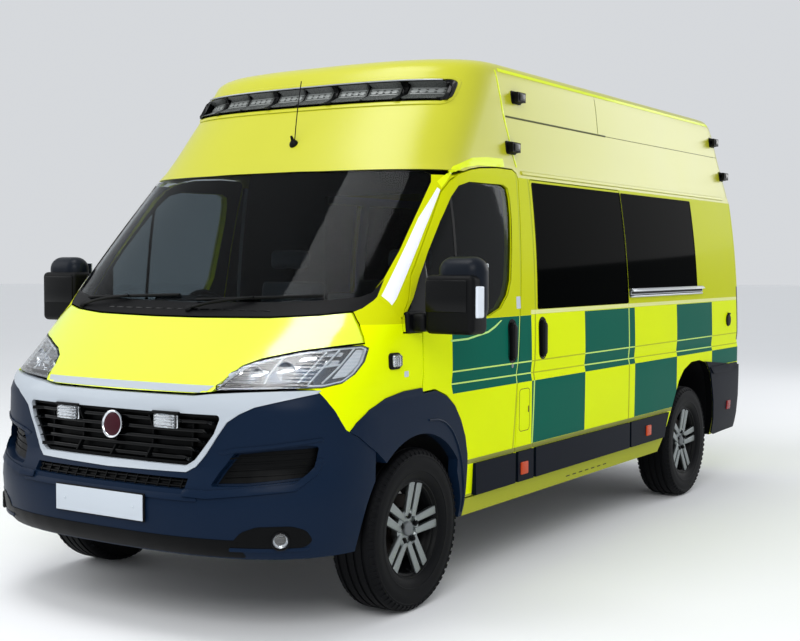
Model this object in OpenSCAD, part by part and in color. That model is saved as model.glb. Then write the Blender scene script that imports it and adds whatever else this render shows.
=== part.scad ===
/* [Overall] */
// Distance between the front and rear axles
wheelbase = 3450; // [3000:10:4200]
// From the front axle to the foremost point of the bumper
front_overhang = 955; // [900:5:1000]
// From the rear axle to the back of the body
rear_overhang = 1060; // [900:5:1500]
// Width over the body sides
body_w = 2050; // [1900:10:2200]
// Height of the raised roof above the ground
roof_z = 2650; // [2500:10:2900]
// Height of the sill's lower edge above the ground
sill_z = 356; // [320:2:380]

/* [Panels] */
// Thickness of a door or body wall
wall = 45; // [35:1:60]
// Thickness of the bonnet
bonnet_t = 25; // [18:1:35]
// Gap round a panel that opens
shut_gap = 8; // [6:0.5:12]
// Gap between fixed pieces that meet
seam = 0.3; // [0.2:0.05:0.6]
// Thickness of the window glass
glass_t = 6; // [4:0.5:10]

/* [Wheels] */
// Radius of the tyres
tyre_r = 368; // [340:1:380]
// Width of the tyres
tyre_w = 225; // [195:5:235]
// Radius of the tyre's bead seat on the rim
rim_r = 203; // [190:1:216]
// Distance between the middles of the front tyres
track_f = 1800; // [1700:5:1810]
// Distance between the middles of the rear tyres
track_r = 1790; // [1700:5:1810]
// Radius of the wheel openings in the body
arch_r = 435; // [420:1:450]
// Radius of the stub axles
stub_r = 28; // [20:1:36]
// Radial running clearance of pins and axles
run = 0.05; // [0.02:0.01:0.1]

/* [Light bar] */
// Length of the front light bar
bar_l = 1610; // [1300:10:1650]
// Height of the front light bar
bar_h = 112; // [90:2:130]

/* [Hidden] */

half = body_w / 2;
nose = -front_overhang;
tail = wheelbase + rear_overhang;
front_axle_y = -(wheelbase + rear_overhang - front_overhang) / 2;
far = 4000;
lime = "#d9ee00";
dark = "#252c38";
black = "#141618";

// Every place is given from the front axle: x to the vehicle's left, y rearwards, z up.
module placed() translate([0, front_axle_y, 0]) children();
module both() { children(); mirror([1, 0, 0]) children(); }

// ---- smooth curve through a short list of [height, value] stations ----
function slope(t, i) = (t[i + 1][1] - t[i][1]) / (t[i + 1][0] - t[i][0]);
function tangent(t, i) =
    i == 0 ? slope(t, 0)
    : i == len(t) - 1 ? slope(t, i - 1)
    : let (a = slope(t, i - 1), b = slope(t, i)) a * b <= 0 ? 0 : 2 * a * b / (a + b);
function span(t, z, i = 0) = i >= len(t) - 2 || z < t[i + 1][0] ? i : span(t, z, i + 1);
function along(t, z) =
    let (i = span(t, z), h = t[i + 1][0] - t[i][0], u = max(0, min(1, (z - t[i][0]) / h)),
         a = 1 - u)
    a * a * (1 + 2 * u) * t[i][1] + u * a * a * h * tangent(t, i)
    + u * u * (3 - 2 * u) * t[i + 1][1] - u * u * a * h * tangent(t, i + 1);

// ---- the body's outer form ----
// How far the side leans in from the half width, by height
SIDE = [[340, 40], [450, 16], [600, 4], [900, 0], [962, 0], [1001, 7], [1061, 1], [1330, 8],
    [2020, 80], [2060, 96], [roof_z - 330, 130], [roof_z - 100, 160], [roof_z - 60, 182],
    [roof_z - 40, 225], [roof_z - 20, 325], [roof_z - 5, 525], [roof_z, 725]];
// How far the middle of the front lies behind the nose, by height
FRONT = [[340, 125], [700, 110], [900, 92], [960, 92], [1000, 105], [1040, 137], [1100, 210],
    [1200, 335], [1300, 460], [1350, 520], [1400, 564], [1700, 836], [2003, 1110], [2060, 1162],
    [2200, 1275], [2300, 1352], [2400, 1430], [roof_z - 150, 1492], [roof_z - 100, 1522],
    [roof_z - 60, 1580], [roof_z - 40, 1660], [roof_z - 20, 1880], [roof_z - 5, 2450],
    [roof_z, 3300]];
// How far back the front's curve reaches along the side, by height
SWEEP = [[340, 560], [1000, 560], [1400, 400], [2600, 400]];
// How far the back leans forward, by height
BACK = [[340, 12], [600, 0], [2020, 0], [2330, 130], [roof_z - 100, 235], [roof_z - 40, 300],
    [roof_z - 20, 360], [roof_z, 480]];
// How far the bumper stands in front of the body, by height
PROUD = [[350, 70], [380, 100], [430, 116], [560, 115], [640, 92], [720, 40], [860, 8], [960, 0],
    [1060, 0]];
front_power = 2.8;
corner_power = 2.4;
corner_r = 110;
front_steps = 28;
corner_steps = 5;

function power_of(v, p) = sign(v) * pow(abs(v), 2 / p);
// One level outline, moved in by t and with its front moved forward by p
function ring(z, t, p) =
    let (w = half - along(SIDE, z) - t, d = along(SWEEP, z) + p,
         y0 = nose + along(FRONT, z) - p + t, y1 = tail - along(BACK, z) - t)
    concat(
        [for (i = [0:front_steps]) let (a = 180 * i / front_steps)
            [-w * power_of(cos(a), front_power), y0 + d * (1 - power_of(sin(a), front_power))]],
        [for (i = [0:corner_steps]) let (a = 90 * i / corner_steps)
            [w - corner_r * (1 - power_of(cos(a), corner_power)),
             y1 - corner_r * (1 - power_of(sin(a), corner_power))]],
        [for (i = [corner_steps:-1:0]) let (a = 90 * i / corner_steps)
            [-w + corner_r * (1 - power_of(cos(a), corner_power)),
             y1 - corner_r * (1 - power_of(sin(a), corner_power))]]);
module stack(rings, heights) {
    n = len(rings[0]);
    m = len(rings);
    polyhedron(
        points = [for (j = [0:m - 1]) for (q = rings[j]) [q[0], q[1], heights[j]]],
        faces = concat(
            [[for (i = [0:n - 1]) i]],
            [for (j = [0:m - 2]) for (i = [0:n - 1]) for (f = [0, 1])
                let (a = j * n + i, b = j * n + (i + 1) % n)
                f == 0 ? [a, a + n, b] : [b, a + n, b + n]],
            [[for (i = [n - 1:-1:0]) (m - 1) * n + i]]),
        convexity = 6);
}
low_levels = [340, 400, 470, 600, 760, 900, 962, 984, 1001, 1030, 1061, 1100, 1150, 1200, 1250,
    1300, 1350, 1400, 1480, 1560, 1640, 1720, 1800, 1880, 1950, 2010, 2060, 2130, 2200, 2270, 2340, 2410];
top_levels = [for (d = [170, 130, 100, 80, 66, 54, 44, 36, 28, 20, 13, 6, 0]) roof_z - d];
levels = concat(low_levels, top_levels);
// An inner face needs fewer levels than an outer one
inner_levels = concat([340, 470, 600, 900, 1000, 1060, 1150, 1250, 1350, 1400, 1640, 1880, 2010,
    2130, 2270], [for (d = [300, 170, 100, 66, 44, 28, 13, 0]) roof_z - d]);
// The body's form, moved in by t all round and down by t at the top
module form(t = 0) {
    rise = 400;
    function drop(z) = t * max(0, min(1, (z - roof_z + rise) / rise));
    at = t > 20 ? inner_levels : levels;
    stack([for (z = at) ring(z, t, 0)], [for (z = at) z - drop(z)]);
}
bumper_levels = [350, 360, 380, 410, 440, 500, 560, 600, 640, 680, 720, 760, 800, 860, 900, 930,
    960, 990, 1020, 1060];
bumper_inner_levels = [350, 410, 500, 600, 640, 720, 800, 900, 960, 1060];
// The bumper's form, moved in by t; an inner face runs on past both ends
module bumper_form(t = 0) {
    at = t > 0 ? bumper_inner_levels : bumper_levels;
    past = t > 0 ? 1 : 0;
    stack([for (z = at) ring(z, t, along(PROUD, z))],
        [for (z = at) z == at[0] ? z - past : z == 1060 ? z + past : z]);
}
// A many-faceted panel stays one piece
module panel() resize([0, 0, 0]) children();
module skin(outer, inner) difference() {
    form(outer);
    form(inner);
    translate([-far, -far, 0]) cube([2 * far, 3 * far, 341]);
}

// ---- outlines cut through the body ----
// From the side: the 2D shape's x is y rearwards, its y is height
module side_cut(x0 = 0, x1 = far) translate([x0, 0, 0]) rotate([90, 0, 90]) linear_extrude(x1 - x0)
    children();
// From the front: the 2D shape's x is x, its y is height
module front_cut(y0 = -far, y1 = far) translate([0, y1, 0]) rotate([90, 0, 0])
    linear_extrude(y1 - y0) children();
module grow(d) offset(delta = d) children();
// Front outlines are drawn for this half width, and widen with the body
drawn_half = 1025;
module to_width() scale([half / drawn_half, 1]) children();
module whole() to_width() { children(); mirror([1, 0]) children(); }
module soften(r) offset(r = r) offset(r = -2 * r) offset(r = r) children();

gutter_z = 2020;
door_front = 35;
door_low = 448;
quarter_front = -121;
axle_z = tyre_r;

module door_shape() polygon([[door_front, 990], [door_front, 1262], [quarter_front, 1266],
    [quarter_front - 4, 1310], [-100, 1356], [-64, 1405], [-12, 1515], [124, 1673], [322, 1901],
    [400, 1957], [488, 1996], [590, 2020], [700, 2036], [880, 2048], [1040, 2048], [1070, 2030],
    [1072, 1990], [1050, 1860], [992, 1420], [978, 1326], [940, 1000], [918, 700], [912, door_low],
    [434, door_low], [436, 560], [434, 660], [410, 750], [368, 832], [310, 906], [236, 958],
    [140, 994]]);
module door_window_shape() soften(18) polygon([[-96, 1292], [-92, 1350], [-30, 1415], [25, 1500],
    [120, 1620], [250, 1762], [372, 1880], [455, 1938], [560, 1962], [900, 1966], [945, 1950],
    [955, 1900], [950, 1800], [925, 1650], [890, 1480], [850, 1410], [770, 1345], [650, 1312],
    [400, 1298]]);
slide_gap = 5;
slide_front = 1118;
slide_rear = 2392;
module sliding_door_shape() polygon([[slide_front, door_low], [slide_front, 700], [1150, 1326],
    [1195, 1985], [1215, 2006], [slide_rear - 20, 2006], [slide_rear, 1986],
    [slide_rear, door_low]]);
pane_low = 1330;
rail_mid = 1390;
rail_front = slide_rear + 8;
rail_rear = 3660;
rail_h = 24;
pane_top = 1992;
pane_split = 2400;
pane_rear = 3590;
module slide_pane_shape() soften(14) polygon([[1176, pane_low], [1222, pane_top],
    [pane_split - 20, pane_top], [pane_split - 20, pane_low]]);
module rear_pane_shape() soften(14) polygon([[pane_split + 10, rail_mid + 20],
    [pane_split + 10, pane_top], [pane_rear, pane_top], [pane_rear, rail_mid + 20]]);
module seat_margin() grow(-34) children();
module roof_front_shape() polygon([[-far, gutter_z - 8], [1120, gutter_z - 8], [1093, 2063],
    [1009, 2321], [967, 2600], [960, 3000], [-far, 3000]]);
rear_edge = half - 120;
rear_low = 520;
rear_top = gutter_z - 16;
module rear_doors_shape() polygon([[-rear_edge, rear_low], [-rear_edge, 1400],
    [-rear_edge + 64, rear_top], [rear_edge - 64, rear_top], [rear_edge, 1400],
    [rear_edge, rear_low]]);
step_w = 1560;
// All of the back that the doors and the step take up
module rear_opening_shape() union() {
    grow(shut_gap) rear_doors_shape();
    translate([-step_w / 2 - seam, 0]) square([step_w + 2 * seam, rear_low]);
    translate([64 - rear_edge, rear_top]) square([2 * rear_edge - 128, 100]);
}
module rear_door_shape() intersection() {
    rear_doors_shape();
    translate([shut_gap / 2, 0]) square([2000, 3000]);
}
module rear_pane_back_shape() soften(20) polygon([[110, 1330], [110, 1900], [720, 1900],
    [765, 1330]]);
module bonnet_half() polygon([[-1, 1019], [420, 1022], [498, 1030], [514, 1050], [522, 1084],
    [556, 1134], [622, 1164], [764, 1198], [899, 1219], [958, 1228], [948, 1250], [913, 1302],
    [866, 1352], [745, 1338], [521, 1324], [138, 1318], [-1, 1318]]);
module bonnet_shape() whole() bonnet_half();
module headlamp_shape() to_width() polygon([[506, 1034], [510, 1050], [517, 1084],
    [551, 1128], [618, 1157], [764, 1192], [899, 1212], [964, 1219], [984, 1207], [990, 1150],
    [984, 1100], [966, 1066], [920, 1050], [782, 1046]]);
module screen_half() polygon([[-1, 1388], [521, 1394], [745, 1404], [870, 1420], [905, 1440],
    [920, 1502], [922, 1627], [907, 1836], [897, 1950], [884, 1984], [852, 1998], [756, 2004],
    [222, 2014], [-1, 2014]]);
module screen_shape() whole() screen_half();
module scuttle_half() polygon([[-1, 1318], [138, 1318], [521, 1324], [745, 1338], [866, 1352],
    [900, 1372], [924, 1404], [930, 1420], [922, 1502], [905, 1440], [870, 1420], [745, 1404],
    [521, 1394], [-1, 1388]]);
module scuttle_shape() whole() scuttle_half();
module grille_shape() to_width() soften(16) polygon([[-575, 938], [575, 938], [545, 860],
    [462, 748], [420, 722], [-420, 722], [-462, 748], [-545, 860]]);
module surround_half() polygon([[-1, 1008], [420, 1010], [500, 1020], [640, 1030], [782, 1038],
    [920, 1042], [916, 1030], [820, 1004], [712, 975], [650, 944], [600, 910], [550, 836],
    [506, 768], [470, 722], [430, 698], [-1, 690]]);
module surround_shape() difference() {
    whole() surround_half();
    grille_shape();
}
module bumper_side_shape() polygon([[-far, 1060], [-640, 1060], [-612, 1041], [-590, 988],
    [-554, 920], [-526, 876], [-500, 858], [-464, 841], [-403, 797], [-346, 764], [-346, 0],
    [-far, 0]]);
module wing_shape() polygon([[-700, 1300], [-700, 1060], [-612, 1041], [-590, 988], [-554, 920],
    [-526, 876], [-500, 858], [-464, 841], [-403, 797], [-346, 764], [0, 500], [door_front, 900],
    [door_front, 1262], [quarter_front, 1266], [quarter_front - 4, 1310], [-139, 1335],
    [-205, 1405], [-225, 1430], [-420, 1430]]);
// The trim's rear leg comes down to the sill behind the tyre, clear of it at full lock
leg_rear = 424;
module arch_hole_shape() difference() {
    translate([0, axle_z]) circle(r = arch_r, $fn = 60);
    polygon([[335, 646], [332, 590], [362, 520], [388, 435], [394, 300], [600, 300], [600, 646]]);
}
module arch_trim_shape() polygon([[-516, 860], [-477, 900], [-398, 949], [-276, 986], [-127, 1005],
    [17, 1008], [140, 990], [236, 954], [310, 902], [366, 828], [406, 746], [428, 656],
    [430, 552], [430, 454], [leg_rear, sill_z + 2], [300, sill_z + 2], [0, 500], [-346, 764],
    [-403, 797], [-464, 841]]);
module wheel_hole(y, r = arch_r) translate([-far, y, axle_z]) rotate([0, 90, 0])
    cylinder(r = r, h = 2 * far, $fn = 60);
module rear_arch_shape() translate([wheelbase, 0]) polygon([[-506, 0], [-497, 366], [-360, 591],
    [-289, 692], [-218, 794], [-126, 862], [10, 904], [168, 908], [292, 883], [384, 800],
    [442, 640], [480, 480], [494, 0]]);
module side_hole(y, r, x) both() translate([x, y, axle_z]) rotate([0, 90, 0])
    cylinder(r = r, h = far, $fn = 60);

// ---- panels ----
module body_side() panel() difference() {
    intersection() {
        skin(0, wall);
        union() {
            side_cut() polygon([[leg_rear + seam, 0], [leg_rear + seam, sill_z], [430 + seam, 454],
                [912, door_low], [912, 900], [1400, gutter_z - 8 - seam],
                [far * 2, gutter_z - 8 - seam], [far * 2, 0]]);
            side_cut() polygon([[880, 500], [880, gutter_z - 8 - seam], [1400, gutter_z - 8 - seam],
                [1400, 500]]);
        }
        translate([0, -far, sill_z]) cube([far, 4 * far, far]);
    }
    side_cut(-1) grow(shut_gap) door_shape();
    side_cut(-1) rear_arch_shape();
    front_cut(tail - 200, far * 2) rear_opening_shape();
    front_cut(tail - lamp_d - seam, far * 2) grow(seam) rear_lamp_shape();
}
lamp_d = 100;
module rear_lamp_shape() polygon([[rear_edge + 24, 1010], [rear_edge + 20, 1400], [1100, 1400],
    [1100, 1010]]);
module side_left() color(lime) panel() difference() {
    body_side();
    side_cut() grow(slide_gap) sliding_door_shape();
    side_cut() seat_margin() rear_pane_shape();
    pane_rebate() rear_pane_shape();
    rail_space();
}
module side_right() color(lime) mirror([1, 0, 0]) panel() difference() {
    body_side();
    side_cut() seat_margin() rear_pane_shape();
    pane_rebate() rear_pane_shape();
    side_cut() seat_margin() slide_pane_shape();
    pane_rebate() slide_pane_shape();
}
module pane_rebate() difference() {
    side_cut() children();
    form(glass_t + seam);
}
module pane() intersection() {
    difference() { form(0.5); form(glass_t); }
    side_cut() grow(-seam) children();
}
module sliding_door() color(lime) panel() difference() {
    intersection() { skin(0, wall); side_cut() sliding_door_shape(); }
    side_cut() seat_margin() slide_pane_shape();
    pane_rebate() slide_pane_shape();
    side_cut(half - 12) handle_shape(1222);
}
module side_windows() color(black) panel() {
    both() pane() rear_pane_shape();
    both() pane() slide_pane_shape();
}
module handle_shape(y) translate([y, 1176]) offset(r = 26) square([18, 160], center = true);
module door_skin() panel() difference() {
    intersection() { skin(0, wall); side_cut() door_shape(); }
    side_cut() door_window_shape();
    side_hole(0, arch_r + 6, 0);
    side_cut(half - 12) handle_shape(884);
}
module cab_door_left() color(lime) door_skin();
module cab_door_right() color(lime) mirror([1, 0, 0]) door_skin();
module door_pane() panel() intersection() {
    difference() { form(10); form(10 + glass_t); }
    side_cut() grow(-seam) door_window_shape();
}
module cab_window_left() color(black) door_pane();
module cab_window_right() color(black) mirror([1, 0, 0]) door_pane();

module roof_front() color(lime) panel() difference() {
    intersection() { skin(0, wall); side_cut(-far) roof_front_shape(); }
    both() side_cut(-1) grow(shut_gap) door_shape();
    front_cut(-far, 1400) grow(seam) screen_shape();
    pillar_zone(-seam);
    front_cut(-far, 900 + seam) grow(seam) bar_shape();
}
module roof() color(lime) panel() difference() {
    skin(0, wall);
    translate([-far, -far, -1]) cube([2 * far, 4 * far, gutter_z - 8 + 1]);
    side_cut(-far) grow(seam) roof_front_shape();
}
bar_z = 2424;
module bar_shape() translate([0, bar_z]) offset(r = 20) square([bar_l - 40, bar_h - 40],
    center = true);
bar_deep = 34;
module light_bar() color(black) panel() difference() {
    intersection() {
        difference() { form(4); form(wall + 26); }
        front_cut(-far, 900) bar_shape();
    }
    difference() {
        front_cut(-far, 900) grow(-12) bar_shape();
        form(bar_deep);
    }
}
module pillar_zone(g) side_cut(-far) offset(delta = g) polygon([[-330, 1300], [-139, 1330],
    [-100, 1330], [620, 1960], [560, 1985], [-250, 1985]]);
module windscreen_pillars() color(lime) panel() difference() {
    intersection() {
        skin(0, wall);
        pillar_zone(0);
        both() translate([800, -far, 0]) cube([far, 2 * far, far]);
    }
    both() side_cut(-1) grow(shut_gap) door_shape();
    both() side_cut(-1) grow(seam) wing_shape();
    front_cut(-far, 1400) grow(seam) screen_shape();
    front_cut(-far, 1400) grow(seam) scuttle_shape();
    front_cut(-far, 1400) grow(shut_gap) bonnet_shape();
}
module windscreen() color(black) panel() intersection() {
    difference() { form(3); form(3 + glass_t + 3); }
    front_cut(-far, 1400) screen_shape();
}
module scuttle() color(black) panel() intersection() {
    difference() { form(2); form(wall); }
    difference() {
        front_cut(-far, 1400) difference() {
            scuttle_shape();
            grow(shut_gap) bonnet_shape();
            grow(seam) screen_shape();
        }
        both() side_cut(-1) grow(shut_gap) door_shape();
    }
}
// Towards the plenum panel the bonnet thins to a lip, which swings clear of it
bonnet_lip_t = 8;
bonnet_lip = 75;
module bonnet() color(lime) panel() difference() {
    intersection() {
        skin(0, bonnet_t);
        front_cut(-far, 0) bonnet_shape();
    }
    intersection() {
        form(bonnet_lip_t);
        front_cut(-far, 100) grow(bonnet_lip) scuttle_shape();
    }
}
headlamp_t = 75;
module headlamps() color("silver") panel() intersection() {
    skin(2, headlamp_t);
    both() front_cut(-far, -250) difference() {
        headlamp_shape();
        grow(shut_gap) bonnet_shape();
    }
}
module wings() color(lime) panel() difference() {
    intersection() {
        skin(0, wall);
        both() side_cut(700) wing_shape();
    }
    front_cut(-far, 0) grow(shut_gap) bonnet_shape();
    both() front_cut(-far, -250) grow(seam) headlamp_shape();
    both() side_cut(-1) grow(shut_gap) door_shape();
    both() side_cut(-1) grow(seam) arch_trim_shape();
    front_cut(-far, 0) grow(seam) scuttle_shape();
    front_cut(-far, 0) grow(seam) screen_shape();
    front_cut(-far, -300) grow(seam) surround_shape();
    both() side_cut(-1) grow(seam) bumper_side_shape();
}
module arch_trims() color(dark) panel() {
    difference() {
        intersection() {
            difference() { form(-6); form(wall); }
            both() side_cut(700) arch_trim_shape();
        }
        both() side_cut(-1) arch_hole_shape();
        both() side_cut(-1) grow(seam) bumper_side_shape();
        both() side_cut(-1) grow(shut_gap) door_shape();
    }
}
module front_bumper() color(dark) panel() difference() {
    intersection() {
        difference() { bumper_form(0); bumper_form(wall); }
        both() side_cut(-1) bumper_side_shape();
    }
    front_cut(-far, 0) grow(seam) surround_shape();
    front_cut(-far, 0) grow(seam) grille_shape();
    front_cut(-far, 0) upper_front();
    side_hole(0, arch_r + 4, 0);
    pocket(30) both() intake_shape();
    pocket(24) slot_shape();
}
module upper_front() to_width() polygon([[-1100, 1100], [-1100, 1041], [-916, 1041], [-712, 975],
    [712, 975], [916, 1041], [1100, 1041], [1100, 1100]]);
module pocket(d) difference() {
    front_cut(-far, -500) children();
    bumper_form(d);
}
module intake_shape() to_width() soften(10) polygon([[560, 648], [585, 712], [636, 784], [764, 802],
    [900, 822], [935, 815], [922, 716], [888, 678], [695, 654]]);
module slot_shape() translate([0, 652]) square([900, 44], center = true);
module front_surround() color("silver") panel() intersection() {
    difference() { bumper_form(-4); bumper_form(bonnet_t); }
    front_cut(-far, -300) surround_shape();
}
// The grille is a tray: a rim near the surface, and a plate behind the slats
grille_rim = 14;
grille_deep = 45;
grille_back = 75;
module grille() color(black) panel() difference() {
    intersection() {
        difference() { bumper_form(grille_rim); bumper_form(grille_back); }
        front_cut(-far, -300) grow(-seam) grille_shape();
    }
    difference() {
        front_cut(-far, -300) grow(-grille_rim) grille_shape();
        bumper_form(grille_deep);
    }
}
module rear_door_skin() panel() difference() {
    intersection() { skin(0, wall); front_cut(tail - 150, far * 2) rear_door_shape(); }
    front_cut(tail - 200, far * 2) rear_pane_back_shape();
}
module rear_door_left() color(lime) rear_door_skin();
module rear_door_right() color(lime) mirror([1, 0, 0]) rear_door_skin();
module rear_pane() panel() intersection() {
    difference() { form(8); form(8 + glass_t); }
    front_cut(tail - 150, far * 2) grow(-seam) rear_pane_back_shape();
}
module rear_window_left() color(black) rear_pane();
module rear_window_right() color(black) mirror([1, 0, 0]) rear_pane();
module rear_lamps() color("firebrick") panel() both() intersection() {
    difference() { form(0); form(wall + 10); }
    front_cut(tail - lamp_d, far * 2) rear_lamp_shape();
}

// ---- outer fittings ----
module rail_space() side_cut(half - 30) translate([rail_front - seam, rail_mid - rail_h / 2 - seam])
    square([rail_rear - rail_front + 2 * seam, rail_h + 2 * seam]);
module slide_rail() color("silver") difference() {
    beam(half - 29, rail_front, rail_mid - rail_h / 2, 31, rail_rear - rail_front, rail_h);
    beam(half - 8, rail_front + 6, rail_mid - 5, 20, rail_rear - rail_front - 12, 10);
}
module side_mouldings() color(dark) panel() both() difference() {
    union() {
        side_cut(half - 60, half + 12) polygon([[496, 452], [490, 606], [900, 606], [900, 452]]);
        side_cut(half - 60, half + 12) polygon([[930, 452], [930, 606], [1100, 606],
            [1100, 452]]);
        side_cut(half - 60, half + 12) polygon([[1130, 452], [1130, 606], [2380, 606],
            [2380, 452]]);
        side_cut(half - 60, half + 12) polygon([[2406, 452], [2406, 606],
            [wheelbase - 420, 606], [wheelbase - 460, 540], [wheelbase - 500, 452]]);
        rear_cladding();
    }
    form(-seam);
}
module rear_cladding() difference() {
    intersection() {
        form(-10);
        side_cut(400) translate([wheelbase, 0]) polygon([[244, 894], [292, 884], [384, 800],
            [442, 640], [480, 480], [492, 372], [553, 352], [750, 358], [2000, 372], [2000, 812],
            [1094, 819], [700, 852]]);
    }
    front_cut(tail - 60, far * 2) polygon([[-2, 0], [rear_edge + 24, 0], [rear_edge + 24, 3000],
        [-2, 3000]]);
}
step_z = 400;
step_h = 90;
step_d = 84;
// Two holes for a tow-ball plate
tow_pitch = 90;
tow_hole_r = 8.5;
module rear_step() color(dark) difference() {
    translate([-step_w / 2, tail - step_d - 6, step_z]) cube([step_w, step_d, step_h]);
    both() translate([tow_pitch / 2, tail - step_d - 7, step_z + step_h / 2]) rotate([-90, 0, 0])
        cylinder(r = tow_hole_r, h = step_d + 2, $fn = 32);
}
module roof_lamp(y, z) translate([half - along(SIDE, z) + 4, y, z]) cube([70, 86, 50],
    center = true);
module roof_lamps() color(black) panel() both() difference() {
    union() {
        roof_lamp(1167, 2436);
        roof_lamp(1055, 2165);
        roof_lamp(wheelbase + 761, 2445);
        roof_lamp(wheelbase + 909, 2207);
    }
    form(-seam);
}
module mirror_body() panel() difference() {
    union() {
        hull() {
            translate([half + 68, -85, 1256]) cube([250, 150, 260]);
            translate([half + 105, -50, 1300]) cube([220, 146, 298]);
        }
        hull() {
            translate([half - 60, -80, 1262]) cube([30, 100, 60]);
            translate([half + 75, -60, 1270]) cube([20, 90, 70]);
        }
    }
    form(-seam);
}
module mirror_left() color(black) mirror_body();
module mirror_right() color(black) mirror([1, 0, 0]) mirror_body();

// ---- under the body ----
floor_z = 600;
floor_t = 50;
rail_x = 430;
rail_w = 70;
rail_z = 460;
rear_rail_end = tail - step_d - 6 - seam;
floor_front = 440;
spring_x = 545;
spring_front = wheelbase - 660;
spring_rear = wheelbase + 600;
hanger_z = 484;
tub_x = 640;
module beam(x, y, z, l, w, h) translate([x, y, z]) cube([l, w, h]);
module underbody() color("dimgray") panel() {
    toe_board();
    front_carrier();
    difference() {
        intersection() {
            form(wall + seam);
            beam(-far, floor_front, floor_z - floor_t, 2 * far, tail - wall - floor_front - 1, floor_t);
        }
        both() side_cut(tub_x - 10) grow(10) rear_arch_shape();
    }
    both() {
        beam(rail_x, -780, 400, rail_w, 1260, 90);
        beam(rail_x, floor_front, rail_z, rail_w, rear_rail_end - floor_front,
            floor_z - floor_t - rail_z + 1);
        for (y = [spring_front, spring_rear]) beam(rail_x, y - 40, hanger_z, spring_x + 35 - rail_x,
            80, floor_z - floor_t - hanger_z + 1);
    }
    for (y = [700, 1560, 2420, 3200, 4200]) beam(-rail_x - 1, y, rail_z + 20, 2 * rail_x + 2, 70,
        floor_z - floor_t - rail_z - 19);
}
// The wall between cab and engine, which also roofs the front wheels
carrier_z = 905;
tower_z = 872;
wall_low = 25;
module toe_board() intersection() {
    form(wall + seam);
    side_cut(-far) polygon([[floor_front + 1, floor_z - floor_t], [floor_front + 1, floor_z],
        [325, 800], [175, tower_z + wall_low], [-160, tower_z + wall_low], [-175, 930], [-175, 1290],
        [-200, 1290], [-200, tower_z], [165, tower_z], [305, 785],
        [floor_front - 24, floor_z - floor_t]]);
}
module front_carrier() {
    intersection() {
        bumper_form(grille_back + seam);
        union() {
            beam(-640, -960, carrier_z, 1280, 290, 50);
            both() beam(600, -790, carrier_z, 60, 600, 50);
        }
    }
    // The posts that the shut bonnet rests on
    both() intersection() {
        form(bonnet_t + seam);
        beam(612, -520, carrier_z + 49, 36, 40, 400);
    }
}
liner_t = 6;
liner_x = 760;
module arch_liners() color(black) panel() both() intersection() {
    form(wall + seam);
    union() {
        difference() {
            intersection() {
                wheel_hole(0, arch_r + liner_t);
                beam(liner_x, -600, 400, far, 1200, 800);
            }
            wheel_hole(0, arch_r);
            side_cut(-1) grow(shut_gap) door_shape();
        }
        difference() {
            side_cut(tub_x) intersection() {
                grow(9) rear_arch_shape();
                translate([0, 410]) square([9000, 1200]);
            }
            side_cut(tub_x + 12, far) rear_arch_shape();
        }
    }
}

// ---- running gear ----
// A wheel or tyre lies with its axle along z and its outer side up, and is then stood on its hub
module on_hub(x, y) translate([x, y, axle_z]) rotate([0, 90, 0]) children();
bead_z = 74;
flange_r = rim_r + 20;
barrel_r = rim_r - 15;
hub_r = 78;
hub_in = 20;
hub_out = 70;
stub_len = 36;
spokes = 5;
spoke_apart = 27;
module wheel() color("silver") difference() {
    union() {
        rotate_extrude($fn = 96) polygon([[flange_r, -88], [flange_r - 5, -80], [rim_r, -bead_z],
            [rim_r, -48], [barrel_r, -36], [barrel_r, 30], [rim_r, 44], [rim_r, bead_z],
            [flange_r - 5, 80], [flange_r, 88], [flange_r - 7, 88], [flange_r - 12, 78],
            [rim_r - 7, 68], [rim_r - 7, 48], [barrel_r - 7, 34], [barrel_r - 7, -40],
            [rim_r - 7, -52], [rim_r - 7, -70], [flange_r - 12, -78], [flange_r - 7, -88]]);
        translate([0, 0, hub_in]) cylinder(r = hub_r, h = hub_out - hub_in, $fn = 64);
        for (i = [0:spokes - 1], s = [-1, 1]) rotate([0, 0, 169 + 360 * i / spokes])
            translate([0, s * spoke_apart, 45]) linear_extrude(20) polygon([[55, -13],
                [rim_r - 8, -17], [rim_r - 8, 17], [55, 13]]);
    }
    translate([0, 0, hub_in - 1]) cylinder(r = stub_r + run, h = stub_len + 1, $fn = 64);
}
function up_wall(share) = flange_r + share * (tyre_r - flange_r);
module tyre() color(black) rotate_extrude($fn = 96) polygon([[rim_r + seam, -bead_z + 0.5],
    [flange_r - 4.8, -bead_z - 5], [flange_r + 3, -0.41 * tyre_w], [up_wall(0.26), -0.48 * tyre_w],
    [up_wall(0.53), -tyre_w / 2], [up_wall(0.74), -0.48 * tyre_w],
    [tyre_r - 16, -0.445 * tyre_w], [tyre_r - 4, -0.39 * tyre_w], [tyre_r, -0.31 * tyre_w],
    [tyre_r, 0.31 * tyre_w], [tyre_r - 4, 0.39 * tyre_w], [tyre_r - 16, 0.445 * tyre_w],
    [up_wall(0.74), 0.48 * tyre_w], [up_wall(0.53), tyre_w / 2], [up_wall(0.26), 0.48 * tyre_w],
    [flange_r + 3, 0.41 * tyre_w], [flange_r - 4.8, bead_z + 5], [rim_r + seam, bead_z - 0.5],
    [rim_r + seam, 62], [rim_r + 19, 70], [up_wall(0.19), 88], [up_wall(0.46), 96],
    [tyre_r - 38, 92], [tyre_r - 18, 80], [tyre_r - 14, 60], [tyre_r - 14, -60],
    [tyre_r - 18, -80], [tyre_r - 38, -92], [up_wall(0.46), -96], [up_wall(0.19), -88],
    [rim_r + 19, -70], [rim_r + seam, -62]]);
module left_front() on_hub(track_f / 2, 0) children();
module left_rear() on_hub(track_r / 2, wheelbase) children();
module flip() mirror([1, 0, 0]) children();
module wheel_front_left() left_front() wheel();
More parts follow.
